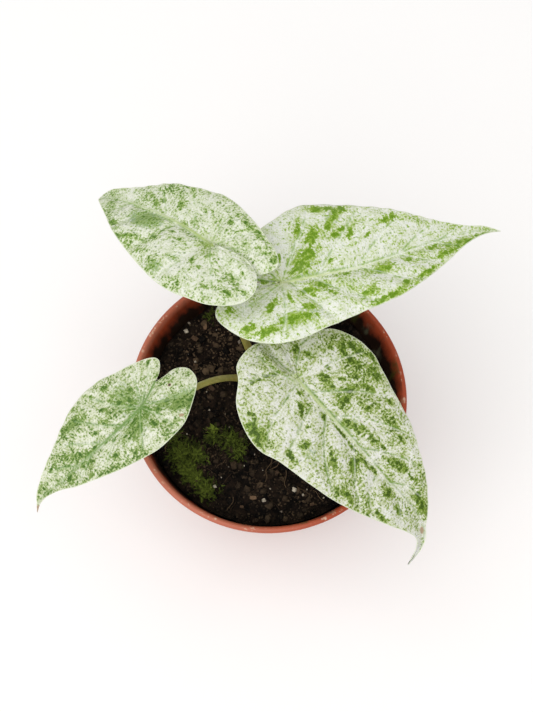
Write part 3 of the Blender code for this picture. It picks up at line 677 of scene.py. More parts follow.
def blade_sheet(name):
    """All that is known of each point of a blade, as arrays of rows by columns."""
    leaf = LEAVES[name]
    rib, starts, left, right, phases = flat_rows(leaf)
    shares = np.linspace(0.0, 1.0, HALF_COLUMNS + 1)
    shares = np.r_[shares[::-1], shares[1:]]
    side = np.r_[np.ones(HALF_COLUMNS + 1), -np.ones(HALF_COLUMNS)]
    ends = np.where((side > 0)[None, :, None], left[:, None], right[:, None])
    flat = starts[:, None] + (ends - starts[:, None]) * shares[None, :, None]
    width = np.linalg.norm(ends - starts[:, None], axis=-1)
    step = np.zeros(flat.shape[:2])
    for half, column in ((slice(0, HALF_COLUMNS + 1), HALF_COLUMNS // 2),
                         (slice(HALF_COLUMNS + 1, None), HALF_COLUMNS + HALF_COLUMNS // 2)):
        moved = np.linalg.norm(np.diff(flat[:, column], axis=0), axis=-1)
        step[:, half] = np.r_[0.0, np.cumsum(moved)][:, None]
    across, rib_side = distance_to_lines(flat, [leaf["midrib"]])
    to_edge = (1.0 - shares) * width * EDGE_SLANT
    to_vein, vein_side = distance_to_lines(flat, VEINS[name])
    free = np.minimum(np.minimum(to_vein, across * 1.2), to_edge * 1.3)
    full = np.minimum(1.0, width / FULL_WIDTH)
    from_notch = ease(starts[:, 0] / rib[0, 0], 0.03, 0.15)[:, None]
    tip_fade = ease(rib[0, 0] - flat[..., 0], 0.0, 14.0)
    raised = QUILT * full * tip_fade * (1.0 - bell(free, QUILT_REACH))
    raised = raised - GROOVE * bell(to_vein, GROOVE_WIDTH) * full
    raised = raised + RIB_LINE * bell(across, RIB_LINE_WIDTH) * tip_fade
    raised = raised + WAVE * full * from_notch * shares ** 2 * np.sin(phases[:, None] * 2.1 + side)
    raised = raised + CRIMP * full * shares ** 4 * np.sin(step * 1.05 + side)
    return {
        "place": hang(leaf, rib, flat, side[None, :], raised), "flat": flat, "run": step,
        "along_row": shares * width * side, "across": across, "to_edge": to_edge,
        "to_vein": to_vein, "vein_side": vein_side * side, "rib_side": rib_side,
    }


# %% [markdown]
# ## Thickness and marks
# The living blade is about half a millimetre thick, thinner at the edge, with a stout midrib and
# ribs under the side veins. Solidify with a vertex group gives that. The marks are stored on the
# points so that the material can follow the leaf's own grain instead of a square texture.

# %% Build a blade
BLADE = 0.45
EDGE_BLADE = 0.22
RIB = 1.9
RIB_WIDTH = 1.7
VEIN_RIB = 0.35
WELD = 0.000002
# Half widths of the lines and spots that the material reads
VEIN_LINE = 0.24
VEIN_SHADE_LINE = 0.3
RIB_LINE_MARK = 0.32
RIB_SHADE_LINE = 0.34
STAR_REACH = 6.0
HEART_REACH = 2.4


def ovals(flat, marks):
    """How far each point lies in ovals: 1 well inside, 0.5 on the outline, 0 well outside.

    A sixth number is the oval's strength, and a negative one takes away.
    """
    total = np.zeros(flat.shape[:-1])
    for x, y, length, width, turn, *strength in marks:
        turn = math.radians(turn)
        offset = flat - np.array((x, y))
        u = offset[..., 0] * math.cos(turn) + offset[..., 1] * math.sin(turn)
        v = offset[..., 1] * math.cos(turn) - offset[..., 0] * math.sin(turn)
        inside = ease(1.8 - 0.92 * np.hypot(u / length, v / width), 0.0, 1.5)
        power = strength[0] if strength else 1.0
        total = np.maximum(total, inside * power) if power > 0 else total + inside * power
    return total


def mark_blade(mesh, name, here, to_tip):
    """Stores on the points of a blade what its material reads."""
    x, y = here["flat"][:, 0], here["flat"][:, 1]
    from_junction = np.hypot(x, y)
    fade = ease(here["to_edge"], 0.5, 5.0)
    zeros = np.zeros(len(x))
    store(mesh, "flat", np.stack([x, y, zeros], -1))
    store(mesh, "grain", np.stack([here["run"], here["along_row"] * 0.6, zeros], -1))
    store(mesh, "fan", np.stack([np.arctan2(y, x) * 5.0, from_junction * 0.12, zeros], -1))
    for mark, places in (("splash", SPLASHES), ("wash", WASHES), ("cloud", CLOUDS), ("scar", SCARS)):
        store(mesh, mark, ovals(here["flat"], places[name]))
    store(mesh, "vein", bell(here["to_vein"], VEIN_LINE) * fade)
    # A darker green line on one side of each side vein: painted shade of the vein's groove
    store(mesh, "vein_shade", bell(here["vein_side"] - 0.5, VEIN_SHADE_LINE) * fade)
    store(mesh, "rib", bell(here["across"], RIB_LINE_MARK) * (0.3 + 0.7 * to_tip))
    # A darker green line along one side of the midrib: painted shade of the raised midrib
    fading = ease(x, 0.5, 3.0) * (1.0 - 0.6 * ease(x, 15.0, 55.0))
    store(mesh, "rib_side", bell(here["rib_side"] + 0.7, RIB_SHADE_LINE) * fading)
    store(mesh, "star", bell(from_junction, STAR_REACH))
    warm_line = 0.3 + 0.2 * ease(x, -2.0, 2.0)
    warm = bell(here["across"], warm_line) * (1.0 - ease(x, 3.0, 45.0))
    store(mesh, "warm", np.maximum(warm, 0.5 * bell(from_junction, HEART_REACH)))
    store(mesh, "edge", here["to_edge"])


def lay_out_faces(mesh):
    """The upper face takes the left half of the picture plane, and the rest the right half."""
    half, right_half = 0.49, 0.51
    layout = mesh.uv_layers[0]
    layout.name = "OFBake"
    places = np.empty(len(mesh.loops) * 2, np.float32)
    layout.data.foreach_get("uv", places)
    places = places.reshape(-1, 2)
    under = np.repeat([face.material_index for face in mesh.polygons],
                      [face.loop_total for face in mesh.polygons])
    places[:, 0] = places[:, 0] * half + np.where(under > 0, right_half, 0.0)
    layout.data.foreach_set("uv", places.ravel())


def make_blade(name, materials):
    sheet = blade_sheet(name)
    blade, row, column = lay_grid("blade_" + name, sheet["place"] * MM)
    mesh = blade.data
    here = {key: value[row, column] for key, value in sheet.items()}

    to_tip = ease(row / row.max(), 0.0, 0.55)
    at_stalk = ease(here["flat"][:, 0], -1.5, 3.0)
    thickness = EDGE_BLADE + (BLADE - EDGE_BLADE) * ease(here["to_edge"], 0.2, 2.5)
    thickness = thickness + VEIN_RIB * bell(here["to_vein"], 0.5) * ease(here["to_edge"], 1, 8)
    thickness = thickness + (RIB - BLADE) * bell(here["across"], RIB_WIDTH) * to_tip * at_stalk
    group = blade.vertex_groups.new(name="thickness")
    for index, weight in enumerate(np.clip(thickness / RIB, 0.0, 1.0).tolist()):
        group.add((index,), weight, "REPLACE")
    mark_blade(mesh, name, here, to_tip)

    with edit_mode(blade):
        bpy.ops.mesh.remove_doubles(threshold=WELD)
    if sum(face.normal.z * face.area for face in mesh.polygons) < 0:
        with edit_mode(blade):
            bpy.ops.mesh.flip_normals()
    wall = blade.modifiers.new("Blade", "SOLIDIFY")
    wall.thickness = RIB * MM
    wall.offset = -1.0
    wall.vertex_group = "thickness"
    wall.material_offset = 1
    apply_modifiers(blade)
    bpy.ops.object.shade_smooth()
    lay_out_faces(mesh)
    return hand_in(blade, materials, ["leaf_" + name])


# %% [markdown]
# ## Variegated leaf skin
# The pale parts of the blade have no chlorophyll and are cream white, with light shining through.
# Green shows as fine speckles that gather into clusters, as larger islands with a broken edge, and
# as soft blue-green clouds below the skin. Each leaf of the plant has its own mix, so its colours
# and the two levels at which green begins stand in a table. The margin is a thin pale line, and
# the midrib and the junction are yellow-green. The skin is satin, with a fine net in relief.

# %% Colours of each leaf
LOOKS = {
    "top": {"cream": "#DCDED2", "light": "#9EB070", "green": "#709036", "dark": "#406614",
            "warm": "#98AE54", "vein": "#D4DCBE", "line": "#86A45C", "cut": 1.425, "island": 1.14,
            "rays": 0.5, "veins": 0.3, "middle": 0.65},
    "right": {"cream": "#DEE0D9", "light": "#A8BA70", "green": "#82A22A", "dark": "#5E8406",
              "warm": "#BFCC84", "vein": "#E4E8DC", "line": "#7EA24A", "cut": 1.48, "island": 1.03,
              "rays": 0.4, "veins": 0.5, "middle": 0.75},
    "front": {"cream": "#D8D8D3", "light": "#98A65A", "green": "#688424", "dark": "#365000",
              "warm": "#A7BA66", "vein": "#E4E4DA", "line": "#628628", "cut": 1.41, "island": 1.04,
              "rays": 0.15, "veins": 0.45, "middle": 0.85},
    "left": {"cream": "#DBDCCE", "light": "#98A868", "green": "#688638", "dark": "#3A5E18",
             "warm": "#5A802E", "vein": "#A4B888", "line": "#4E782A", "cut": 1.37, "island": 1.10,
             "rays": 0.8, "veins": 0.6, "middle": 0.35},
}
CLOUD_COLOUR = "#648A50"
EDGE_COLOUR = "#D9E1C6"
UNDER_COLOUR = "#B7C798"
UNDER_SHARE = 0.6
SCAR_COLOUR = "#A08468"
SPECK_COLOUR = "#2A2620"

# %% [markdown]
# ## The patterns behind the variegation
# A pattern is noise with a scale, which is one over its size in millimetres: fine grains of under
# a millimetre, blots of about one, ragged shapes of one to two, patches of three and regions of
# eight. Sums of them with the marks of the blade say how green a point is. The slow patterns make
# the speckles gather and thin out. Blender has a node for each sum, so the sums stand in a table.

# %% Patterns and sums
# name: what it is read on, scale, detail, roughness
PATTERNS = {
    "fine": ("flat", 1.35, 3.0, 0.64), "blot": ("grain", 0.8, 3.0, 0.6),
    "ragged": ("flat", 0.6, 5.0, 0.66),
    "region": ("flat", 0.12, 1.0, 0.5), "mottle": ("flat", 1.1, 4.0, 0.7),
    "patches": ("flat", 0.32, 3.0, 0.5), "streaks": ("fan", 1.6, 2.0, 0.5),
}
MARKS = ("wash", "cloud", "splash", "star", "vein", "vein_shade", "rib", "rib_side", "warm", "edge",
         "scar")
# result = first * factor + second
SUMS = (("density", "region", 0.44, "fine"), ("density", "fine", 0.25, "density"),
        ("density", "blot", 0.55, "density"), ("density", "patches", 0.4, "density"),
        ("density", "wash", 0.2, "density"), ("density", "splash", 0.2, "density"),
        ("islands", "splash", 0.36, "ragged"), ("islands", "ragged", 0.3, "islands"),
        ("islands", "fine", 0.4, "islands"), ("veil", "mottle", 1.6, "cloud"))
# A mark that shows only where a pattern lies above these levels
BROKEN = (("vein_shade", "patches", 0.40, 0.56), ("rib_side", "patches", 0.30, 0.48),
          ("star", "streaks", 0.50, 0.62))

# %% [markdown]
# ## The leaf skin
# The material starts from the cream skin and lays thin layers over it. Each layer is a share that
# rises from 0 to its strength between two levels of a pattern, and a colour. The levels of the
# density lie close together, so light green, green and dark green come as crisp speckles. The
# islands are the splashes of the blade with their outline moved in and out by ragged noise.
# Dark dots are the cores of some cells of a cell pattern, and the smallest veins run as lighter lines
# between others. A darker green line on one side of each side vein and along one side of the midrib is
# painted shade of their grooves and ridge.


# %% What the skin reads
def read_blade(node):
    """The marks of the blade, the patterns, their sums and two cell patterns, by name."""
    here = {}
    for place in ("flat", "grain", "fan"):
        here[place] = node("Attribute", attribute_name=place).outputs["Vector"]
    for mark in MARKS:
        here[mark] = node("Attribute", attribute_name=mark).outputs["Fac"]
    for pattern, (place, scale, detail, roughness) in PATTERNS.items():
        here[pattern] = node("TexNoise", {"Vector": here[place], "Scale": scale, "Detail": detail,
                                          "Roughness": roughness}, noise_dimensions="2D")
    for result, first, factor, second in SUMS:
        here[result] = node("Math", {0: here[first], 1: factor, 2: here[second]},
                            operation="MULTIPLY_ADD")
    for mark, pattern, low, high in BROKEN:
        shown = node("MapRange", {"Value": here[pattern], "From Min": low, "From Max": high})
        here[mark] = node("Math", {0: here[mark], 1: shown}, operation="MULTIPLY")

    # Dark dots of under a millimetre: the cores of some cells of a cell pattern
    warped = node("VectorMath", {0: here["mottle"], 1: (0.9, 0.9, 0.0), 2: here["flat"]},
                  operation="MULTIPLY_ADD")
    cells = node("TexVoronoi", {"Vector": warped, "Scale": 0.75}, voronoi_dimensions="2D")
    chosen = node("SeparateColor", {0: cells.outputs["Color"]})
    size = node("MapRange", {"Value": chosen, "From Min": 0.60, "From Max": 1.0, "To Max": 0.30})
    size = node("Math", {0: size, 1: cells.outputs["Distance"]}, operation="SUBTRACT")
    here["dots"] = node("Math", {0: here["fine"], 1: 0.5, 2: size}, operation="MULTIPLY_ADD")
    # The smallest veins, lighter than the green around them
    here["cracks"] = node("TexVoronoi", {"Vector": warped, "Scale": 1.25},
                          feature="DISTANCE_TO_EDGE", voronoi_dimensions="2D")
    return here


# %% The layers of the skin
def skin_layers(look):
    """The layers from below upwards: what is read, from, to, strength, colour."""
    cut, island = look["cut"], look["island"]
    light, green, dark = look["light"], look["green"], look["dark"]
    return [
        ("patches", 0.42, 0.72, 0.28, light), ("veil", 1.05, 1.50, 0.9, CLOUD_COLOUR),
        ("density", cut - 0.25, cut - 0.03, 0.42, light), ("density", cut, cut + 0.05, 0.75, light),
        ("density", cut + 0.08, cut + 0.13, 0.93, green), ("dots", 0.25, 0.32, 0.55, dark),
        ("density", cut + 0.19, cut + 0.25, 1.0, dark),
        ("islands", island - 0.09, island - 0.02, 0.6, light),
        ("islands", island, island + 0.04, 0.95, green),
        ("islands", island + 0.08, island + 0.18, 1.0, dark),
        ("cracks", 0.10, 0.02, 0.22, light), ("star", 0.0, 1.0, look["rays"], look["warm"]),
        # The darker green lines on one side of the side veins and of the midrib are painted shade
        ("vein", 0.0, 1.0, look["veins"], look["vein"]), ("vein_shade", 0.0, 1.0, 0.75, look["line"]),
        ("rib", 0.0, 1.0, 0.9, look["vein"]), ("warm", 0.0, 1.0, 0.85, look["warm"]),
        ("rib_side", 0.0, 1.0, look["middle"], look["line"]),
        ("edge", 0.32, 0.12, 0.8, EDGE_COLOUR), ("scar", 0.4, 0.6, 0.85, SCAR_COLOUR),
        ("scar", 1.1, 1.3, 0.95, SPECK_COLOUR),
    ]


# %% Leaf material
def leaf_material(name, look, underside=False):
    material = new_material(name)
    node = partial(add_node, material)
    here = read_blade(node)
    coats = [(node("MapRange", {"Value": here[source], "From Min": low, "From Max": high,
                                "To Max": strength}), tint)
             for source, low, high, strength, tint in skin_layers(look)]
    if underside:
        coats.append((UNDER_SHARE, UNDER_COLOUR))
    skin = colour(look["cream"])
    for share, tint in coats:
        skin = node("Mix", {"Factor": share, "A": skin, "B": colour(tint)}, data_type="RGBA")

    # A net of small veins, one millimetre wide, and the pores of the skin
    net = node("TexVoronoi", {"Vector": here["grain"], "Scale": 0.95},
               feature="DISTANCE_TO_EDGE", voronoi_dimensions="2D")
    net = node("MapRange", {"Value": net, "From Max": 0.25})
    relief = node("Math", {0: here["fine"], 1: 0.5, 2: net}, operation="MULTIPLY_ADD")
    gloss = node("MapRange", {"Value": here["blot"], "From Min": 0.3, "From Max": 0.7,
                              "To Min": 0.42, "To Max": 0.58})
    finish_surface(material, {
        "Base Color": skin, "Roughness": gloss, "Specular IOR Level": 0.2,
        "Normal": node("Bump", {"Height": relief, "Distance": 0.00007, "Strength": 0.8}),
        "Subsurface Weight": 0.08, "Subsurface Scale": 0.001, "Subsurface Radius": (1.0, 1.0, 0.5)})
    return material


# %% [markdown]
# ## Four blades, four pairs of skins
# The leaves of one plant are variegated to different degrees, and the light comes through the
# pale underside evenly, so each blade gets an upper and a lower skin of its own.

# %% Make the four blades
for leaf_name, leaf_look in LOOKS.items():
    upper_skin = leaf_material("Variegated leaf, upper skin, " + leaf_name, leaf_look)
    lower_skin = leaf_material("Variegated leaf, lower skin, " + leaf_name, leaf_look, True)
    make_blade(leaf_name, [upper_skin, lower_skin])

# %% [markdown]
# ## The pot
# A thin nursery pot is blown or moulded plastic: a tapered cup with a stiffening band below a
# rounded lip, and drain holes in its floor. Its half section is drawn point by point with
# extrude and spun round the upright axis, as on a lathe. The holes are cut with round bars.

# %% Spin and cut the pot
POT_HEIGHT = 88.0
RIM_RADIUS = 52.5
RIM_WIDTH = 2.2
RIM_BAND = 8.0
BAND_STEP = 1.2
BASE_RADIUS = 36.0
BASE_ROUND = 2.0
POT_WALL = 1.2
POT_FLOOR = 1.6
WALL_HEIGHTS = (25.0, 45.0, 65.0)
FLOOR_RING = 30.0
DRAIN_HOLES = 6
DRAIN_RADIUS = 3.5
DRAIN_CIRCLE = 23.0
GAP = 0.35


def spin_section(name, profile, steps):
    """Draws a half section of (radius, height) in mm and spins it into a closed body."""
    bpy.ops.mesh.primitive_plane_add(size=MM, location=(0.0, 0.0, 0.0))
    piece = bpy.context.object
    piece.name = name
    with edit_mode(piece):
        bpy.ops.mesh.merge(type="CENTER")
        radius, height = profile[0]
        bpy.ops.transform.translate(value=(radius * MM, 0.0, height * MM))
        for (radius, height), (next_radius, next_height) in zip(profile, profile[1:]):
            move = ((next_radius - radius) * MM, 0.0, (next_height - height) * MM)
            bpy.ops.mesh.extrude_region_move(TRANSFORM_OT_translate={"value": move})
        bpy.ops.mesh.select_all(action="SELECT")
        bpy.ops.mesh.spin(steps=steps, angle=math.tau, center=(0.0, 0.0, 0.0), axis=(0.0, 0.0, 1.0))
        bpy.ops.mesh.select_all(action="SELECT")
        bpy.ops.mesh.remove_doubles(threshold=0.00002)
        bpy.ops.mesh.normals_make_consistent(inside=False)
    return piece


def cut_with(piece, cutter):
    """Takes the cutter's form out of the piece and removes the cutter."""
    cut = piece.modifiers.new("Cut", "BOOLEAN")
    cut.operation = "DIFFERENCE"
    cut.object = cutter
    apply_modifiers(piece)
    bpy.data.objects.remove(cutter, do_unlink=True)


def wall_radius(height):
    """The pot's inner radius at a height."""
    top = RIM_RADIUS - RIM_WIDTH
    bottom = BASE_RADIUS - POT_WALL
    return bottom + (top - bottom) * height / POT_HEIGHT


lip_radius = RIM_WIDTH / 2
inner_top = POT_HEIGHT - lip_radius
band_bottom = POT_HEIGHT - RIM_BAND
below_band = wall_radius(band_bottom) + POT_WALL
pot_section = [(0.0, POT_FLOOR), (FLOOR_RING, POT_FLOOR),
               (wall_radius(POT_FLOOR) - BASE_ROUND, POT_FLOOR)]
pot_section += [(wall_radius(h), h)
                for h in (POT_FLOOR + BASE_ROUND, *WALL_HEIGHTS, band_bottom, inner_top)]
for degrees in range(160, -1, -20):
    angle = math.radians(degrees)
    pot_section.append((RIM_RADIUS - lip_radius + lip_radius * math.cos(angle),
                        inner_top + lip_radius * math.sin(angle)))
pot_section += [(below_band + BAND_STEP + 0.15, band_bottom + 1.2),
                (below_band + BAND_STEP, band_bottom + 0.5),
                (below_band + BAND_STEP * 0.7, band_bottom), (below_band, band_bottom - 0.4)]
pot_section += [(wall_radius(h) + POT_WALL, h) for h in (*reversed(WALL_HEIGHTS), BASE_ROUND)]
pot_section += [(BASE_RADIUS - 0.3, 1.0), (BASE_RADIUS - 0.8, 0.3), (BASE_RADIUS - BASE_ROUND, 0.0),
                (FLOOR_RING, 0.0), (0.0, 0.0)]
pot = spin_section("nursery_pot", pot_section, 192)
bars = []
for index in range(DRAIN_HOLES):
    angle = math.tau * (index + 0.5) / DRAIN_HOLES
    bpy.ops.mesh.primitive_cylinder_add(
        vertices=32, radius=DRAIN_RADIUS * MM, depth=8.0 * MM,
        location=(DRAIN_CIRCLE * MM * math.cos(angle), DRAIN_CIRCLE * MM * math.sin(angle), 0.0))
    bars.append(bpy.context.object)
for bar in bars:
    bar.select_set(True)
bpy.ops.object.join()
cut_with(pot, bpy.context.object)
pick(pot)
bpy.ops.object.shade_smooth_by_angle(angle=math.radians(35.0))

# %% [markdown]
# ## Terracotta-coloured plastic
# The pot isn't fired clay: its colour is an even brick red in a polypropylene that has a satin shine, except
# on the lip, which is painted paler on the side that faces the lamp, as painted light. The lip is scuffed
# pale in places. Inside, below the lip, water and soil have left dark peat, olive algae and a few chalky
# patches, which run down the wall. The peat stain grows darker further down and so also paints the shade
# inside the pot.

# %% Pot material
plastic = new_material("Terracotta coloured polypropylene")
node = partial(add_node, plastic)
place = node("TexCoord").outputs["Object"]
axes = node("SeparateXYZ", {0: place})
height = axes.outputs["Z"]
cloudy = node("TexNoise", {"Vector": place, "Scale": 60.0, "Detail": 3.0})

# Only the inner wall and lip lie within a cone that widens upwards like the wall itself
CONE_SLOPE = 0.1761
CONE_FOOT = 0.0354
level = node("VectorMath", {0: place, 1: (1.0, 1.0, 0.0)}, operation="MULTIPLY")
radius_here = node("VectorMath", {0: level}, operation="LENGTH").outputs["Value"]
cone = node("Math", {0: height, 1: CONE_SLOPE, 2: CONE_FOOT}, operation="MULTIPLY_ADD")
inside = node("Math", {0: radius_here, 1: cone}, operation="LESS_THAN")
left_side = node("MapRange", {"Value": axes.outputs["X"], "From Min": 0.02, "From Max": -0.01})
right_side = node("Math", {0: inside, 1: left_side}, operation="SUBTRACT")

# Peat stain, which grows darker down the wall and so also paints the shade inside the pot, and chalk and
# algae, all drawn out down the wall
drips = node("VectorMath", {0: place, 1: (1.0, 1.0, 0.35)}, operation="MULTIPLY")
stain = node("TexNoise", {"Vector": drips, "Scale": 170.0, "Detail": 6.0, "Roughness": 0.6})
# Darker further down: partly peat stain, partly painted shade deep in the pot
depth = node("MapRange", {"Value": height, "From Min": 0.0872, "From Max": 0.0768,
                          "To Min": -0.05, "To Max": 0.42})
peat_stain_and_shade = node("Math", {0: stain, 1: depth}, operation="ADD")
peat_stain_and_shade = node("Math", {0: left_side, 1: -0.05, 2: peat_stain_and_shade}, operation="MULTIPLY_ADD")
peat_stain_and_shade = node("MapRange", {"Value": peat_stain_and_shade, "From Min": 0.42, "From Max": 0.78})
peat_stain_and_shade = node("Math", {0: peat_stain_and_shade, 1: inside}, operation="MULTIPLY")
growth = node("TexNoise", {"Vector": drips, "Scale": 90.0, "Detail": 5.0})
chalk = node("MapRange", {"Value": growth, "From Min": 0.60, "From Max": 0.70, "To Max": 0.75})
chalk = node("Math", {0: chalk, 1: right_side}, operation="MULTIPLY", use_clamp=True)
algae = node("MapRange", {"Value": growth, "From Min": 0.42, "From Max": 0.34, "To Max": 0.8})
algae = node("Math", {0: algae, 1: right_side}, operation="MULTIPLY", use_clamp=True)

# The lip is painted lighter on the side that faces the lamp, as painted light, and has pale scuffs on its
# very top
painted_lit_side = node("VectorMath", {0: place, 1: (-0.9, -0.45, 0.0)}, operation="DOT_PRODUCT").outputs["Value"]
painted_lit_side = node("MapRange", {"Value": painted_lit_side, "From Min": -0.01, "From Max": 0.045, "To Max": 0.4})
lip = node("MapRange", {"Value": height, "From Min": 0.0845, "From Max": 0.0866})
painted_lit_side = node("Math", {0: painted_lit_side, 1: lip}, operation="MULTIPLY")
scuff = node("TexNoise", {"Vector": place, "Scale": 210.0, "Detail": 5.0, "Roughness": 0.65})
top_edge = node("MapRange", {"Value": height, "From Min": 0.0872, "From Max": 0.088, "To Max": 0.22})
scuff = node("Math", {0: scuff, 1: top_edge}, operation="ADD")
scuff = node("MapRange", {"Value": scuff, "From Min": 0.76, "From Max": 0.84, "To Max": 0.7})

brick = colour("#943A1F")
# The pale #D09078 on the lip's lamp side is painted light; the dark #22150E is peat stain that also paints
# shade inside the pot
for share, tint in ((cloudy, "#AE4C2D"), (peat_stain_and_shade, "#22150E"), (chalk, "#7A7C64"),
                    (algae, "#3E4016"), (painted_lit_side, "#D09078"), (scuff, "#D9BFA6")):
    brick = node("Mix", {"Factor": share, "A": brick, "B": colour(tint)}, data_type="RGBA")
grain = node("TexNoise", {"Vector": place, "Scale": 1400.0, "Detail": 2.0})
grain = node("Bump", {"Height": grain, "Distance": 0.00003, "Strength": 0.5})
finish_surface(plastic, {"Base Color": brick, "Roughness": 0.42, "Normal": grain,
                         "Specular IOR Level": 0.28})
hand_in(pot, [plastic], ["pot"])

# %% [markdown]
# ## Potting soil
# Peat and compost fill the pot to a finger's width below the rim. The body is spun with many
# rings, and its top is then pushed into lumps and hollows: the same broad ones as in the solid,
# and smaller ones from noise. A hole is left for the corm.

# %% The soil body
SOIL_LEVEL = 75.5
SOIL_LUMP = 1.1
SOIL_DISH = 2.2
SOIL_RINGS = 90
PLANT_X = -2.6
PLANT_Y = 5.7
CORM_BASE = 58.0
CORM_RADIUS = 9.0
CORM_TOP = 79.0
NECK_RADIUS = 6.6


def soil_top(x, y):
    """The height of the soil's top at x and y, all in millimetres."""
    lumps = math.sin(0.21 * x + 1.3) * math.cos(0.17 * y - 0.6)
    lumps += 0.6 * math.sin(0.43 * y + 0.31 * x)
    dish = SOIL_DISH * (math.hypot(x, y) / RIM_RADIUS) ** 3
    clods = noise.fractal(Vector((x * 0.16, y * 0.16, 4.0)), 0.7, 2.1, 5)
    return SOIL_LEVEL + SOIL_LUMP * lumps - dish + 0.75 * clods


def corm_section(clearance=0.0):
    crown = [(0.0, CORM_TOP), (NECK_RADIUS - 0.8, CORM_TOP), (NECK_RADIUS, CORM_TOP - 0.8)]
    if clearance:
        crown = [(0.0, POT_HEIGHT), (NECK_RADIUS + clearance, POT_HEIGHT)]
    body = [(NECK_RADIUS + 0.2, CORM_TOP - 5.0), (CORM_RADIUS, CORM_BASE + 8.0),
            (CORM_RADIUS - 0.8, CORM_BASE + 4.0), (CORM_RADIUS * 0.6, CORM_BASE + 0.8)]
    body = [(radius + clearance, height - clearance * 0.4) for radius, height in body]
    return crown + body + [(0.0, CORM_BASE - clearance)]


soil_edge = SOIL_LEVEL - SOIL_DISH
soil_floor = POT_FLOOR + GAP
soil_radius = wall_radius(soil_edge) - GAP
soil_section = [(soil_radius * i / SOIL_RINGS, soil_edge) for i in range(SOIL_RINGS + 1)]
soil_section += [(wall_radius(h) - GAP, h) for h in (60.0, 45.0, 25.0, soil_floor + BASE_ROUND)]
soil_section += [(wall_radius(soil_floor) - BASE_ROUND - GAP, soil_floor), (0.0, soil_floor)]
soil = spin_section("potting_soil", soil_section, 240)
points = get_points(soil.data)
for index in np.nonzero(points[:, 2] > (soil_edge - 0.01) * MM)[0]:
    points[index, 2] = soil_top(points[index, 0] / MM, points[index, 1] / MM) * MM
set_points(soil.data, points)
corm_hole = spin_section("corm_hole", corm_section(GAP), 48)
corm_hole.location = (PLANT_X * MM, PLANT_Y * MM, 0.0)
cut_with(soil, corm_hole)
bpy.ops.object.shade_smooth_by_angle(angle=math.radians(45.0))
print("soil top between", round(points[:, 2].max() / MM, 1), "and the wall at", soil_edge)

# %% [markdown]
# ## Peat
# Damp peat is nearly black in its hollows and brown where crumbs have dried. It is fully matt.
# The colour follows noise of a few millimetres with a finer one for the grains.

# %% Soil materials
peat = new_material("Damp peat")
node = partial(add_node, peat)
place = node("TexCoord").outputs["Object"]
damp = node("TexNoise", {"Vector": place, "Scale": 260.0, "Detail": 6.0, "Roughness": 0.65})
damp = node("MapRange", {"Value": damp, "From Min": 0.4, "From Max": 0.72})
brown = node("Mix", {"Factor": damp, "A": colour("#080605"), "B": colour("#2C2119")},
             data_type="RGBA")
grains = node("TexNoise", {"Vector": place, "Scale": 1500.0, "Detail": 3.0})
grains = node("Bump", {"Height": grains, "Distance": 0.0003})
finish_surface(peat, {"Base Color": brown, "Roughness": 0.95, "Normal": grains,
                      "Specular IOR Level": 0.1})
hand_in(soil, [peat], ["soil"])


def toned_material(name, dark, light, roughness=0.9, grain=900.0, depth=0.0002):
    """A matt material whose tone differs from copy to copy by their own attribute."""
    material = new_material(name)
    node = partial(add_node, material)
    tone = node("Attribute", attribute_name="tone").outputs["Fac"]
    here = node("TexCoord").outputs["Object"]
    fine = node("TexNoise", {"Vector": here, "Scale": grain, "Detail": 4.0})
    tone = node("Math", {0: fine, 1: 0.6, 2: tone}, operation="MULTIPLY_ADD")
    tone = node("Math", {0: tone, 1: 0.3}, operation="SUBTRACT")
    mixed = node("Mix", {"Factor": tone, "A": colour(dark), "B": colour(light)}, data_type="RGBA")
    fine = node("Bump", {"Height": fine, "Distance": depth})
    finish_surface(material, {"Base Color": mixed, "Roughness": roughness, "Normal": fine,
                              "Specular IOR Level": 0.12})
    return material


crumb_peat = toned_material("Dry peat crumbs", "#090706", "#5E4D3B")
bark = toned_material("Composted bark", "#18100B", "#7A604A", 0.8)
perlite = toned_material("Perlite and grit", "#6E6256", "#C4BAA8", 0.8)
fibre = toned_material("Root and coir fibre", "#241A13", "#7C654C", 0.8)
moss_green = toned_material("Feather moss", "#1A240C", "#7C8C36", 0.75)

# %% [markdown]
# ## Strewing
# What makes soil look like soil are its loose bits: crumbs, bark, grit and fibres. Each kind is
# modelled once as a small, low solid and then strewn in many sizes and turns over the top, joined
# into one mesh. These helpers join the copies and draw a place and a turn for each.


# %% Strew copies
ANY_TURN = 6.3  # radians, about once round


def triangles_of(piece):
    """The points of a small model in its own units, and its triangles. The model is removed."""
    with edit_mode(piece):
        bpy.ops.mesh.quads_convert_to_tris()
    points = get_points(piece.data)
    faces = np.array([tuple(face.vertices) for face in piece.data.polygons])
    bpy.data.objects.remove(piece, do_unlink=True)
    return points, faces


def turn_matrix(heading, lean, twist=0.0):
    """Twist about the model's own Z, lean over, then turn to the heading. All in radians."""
    ch, sh = math.cos(heading), math.sin(heading)
    cl, sl = math.cos(lean), math.sin(lean)
    ct, st = math.cos(twist), math.sin(twist)
    about_z = np.array(((ct, -st, 0), (st, ct, 0), (0, 0, 1)))
    about_y = np.array(((cl, 0, sl), (0, 1, 0), (-sl, 0, cl)))
    turn = np.array(((ch, -sh, 0), (sh, ch, 0), (0, 0, 1)))
    return turn @ about_y @ about_z


def join_copies(models, copies):
    """Joins copies of the models: each copy is (model, place, size, turn matrix, tone)."""
    points, faces, tones = [], [], []
    count = 0
    for model, place, size, matrix, tone in copies:
        shape, triangles = models[model]
        points.append((shape * np.asarray(size)) @ matrix.T + np.asarray(place))
        faces.append(triangles + count)
        tones.append(np.full(len(shape), tone))
        count += len(shape)
    return np.vstack(points), np.vstack(faces), np.concatenate(tones)


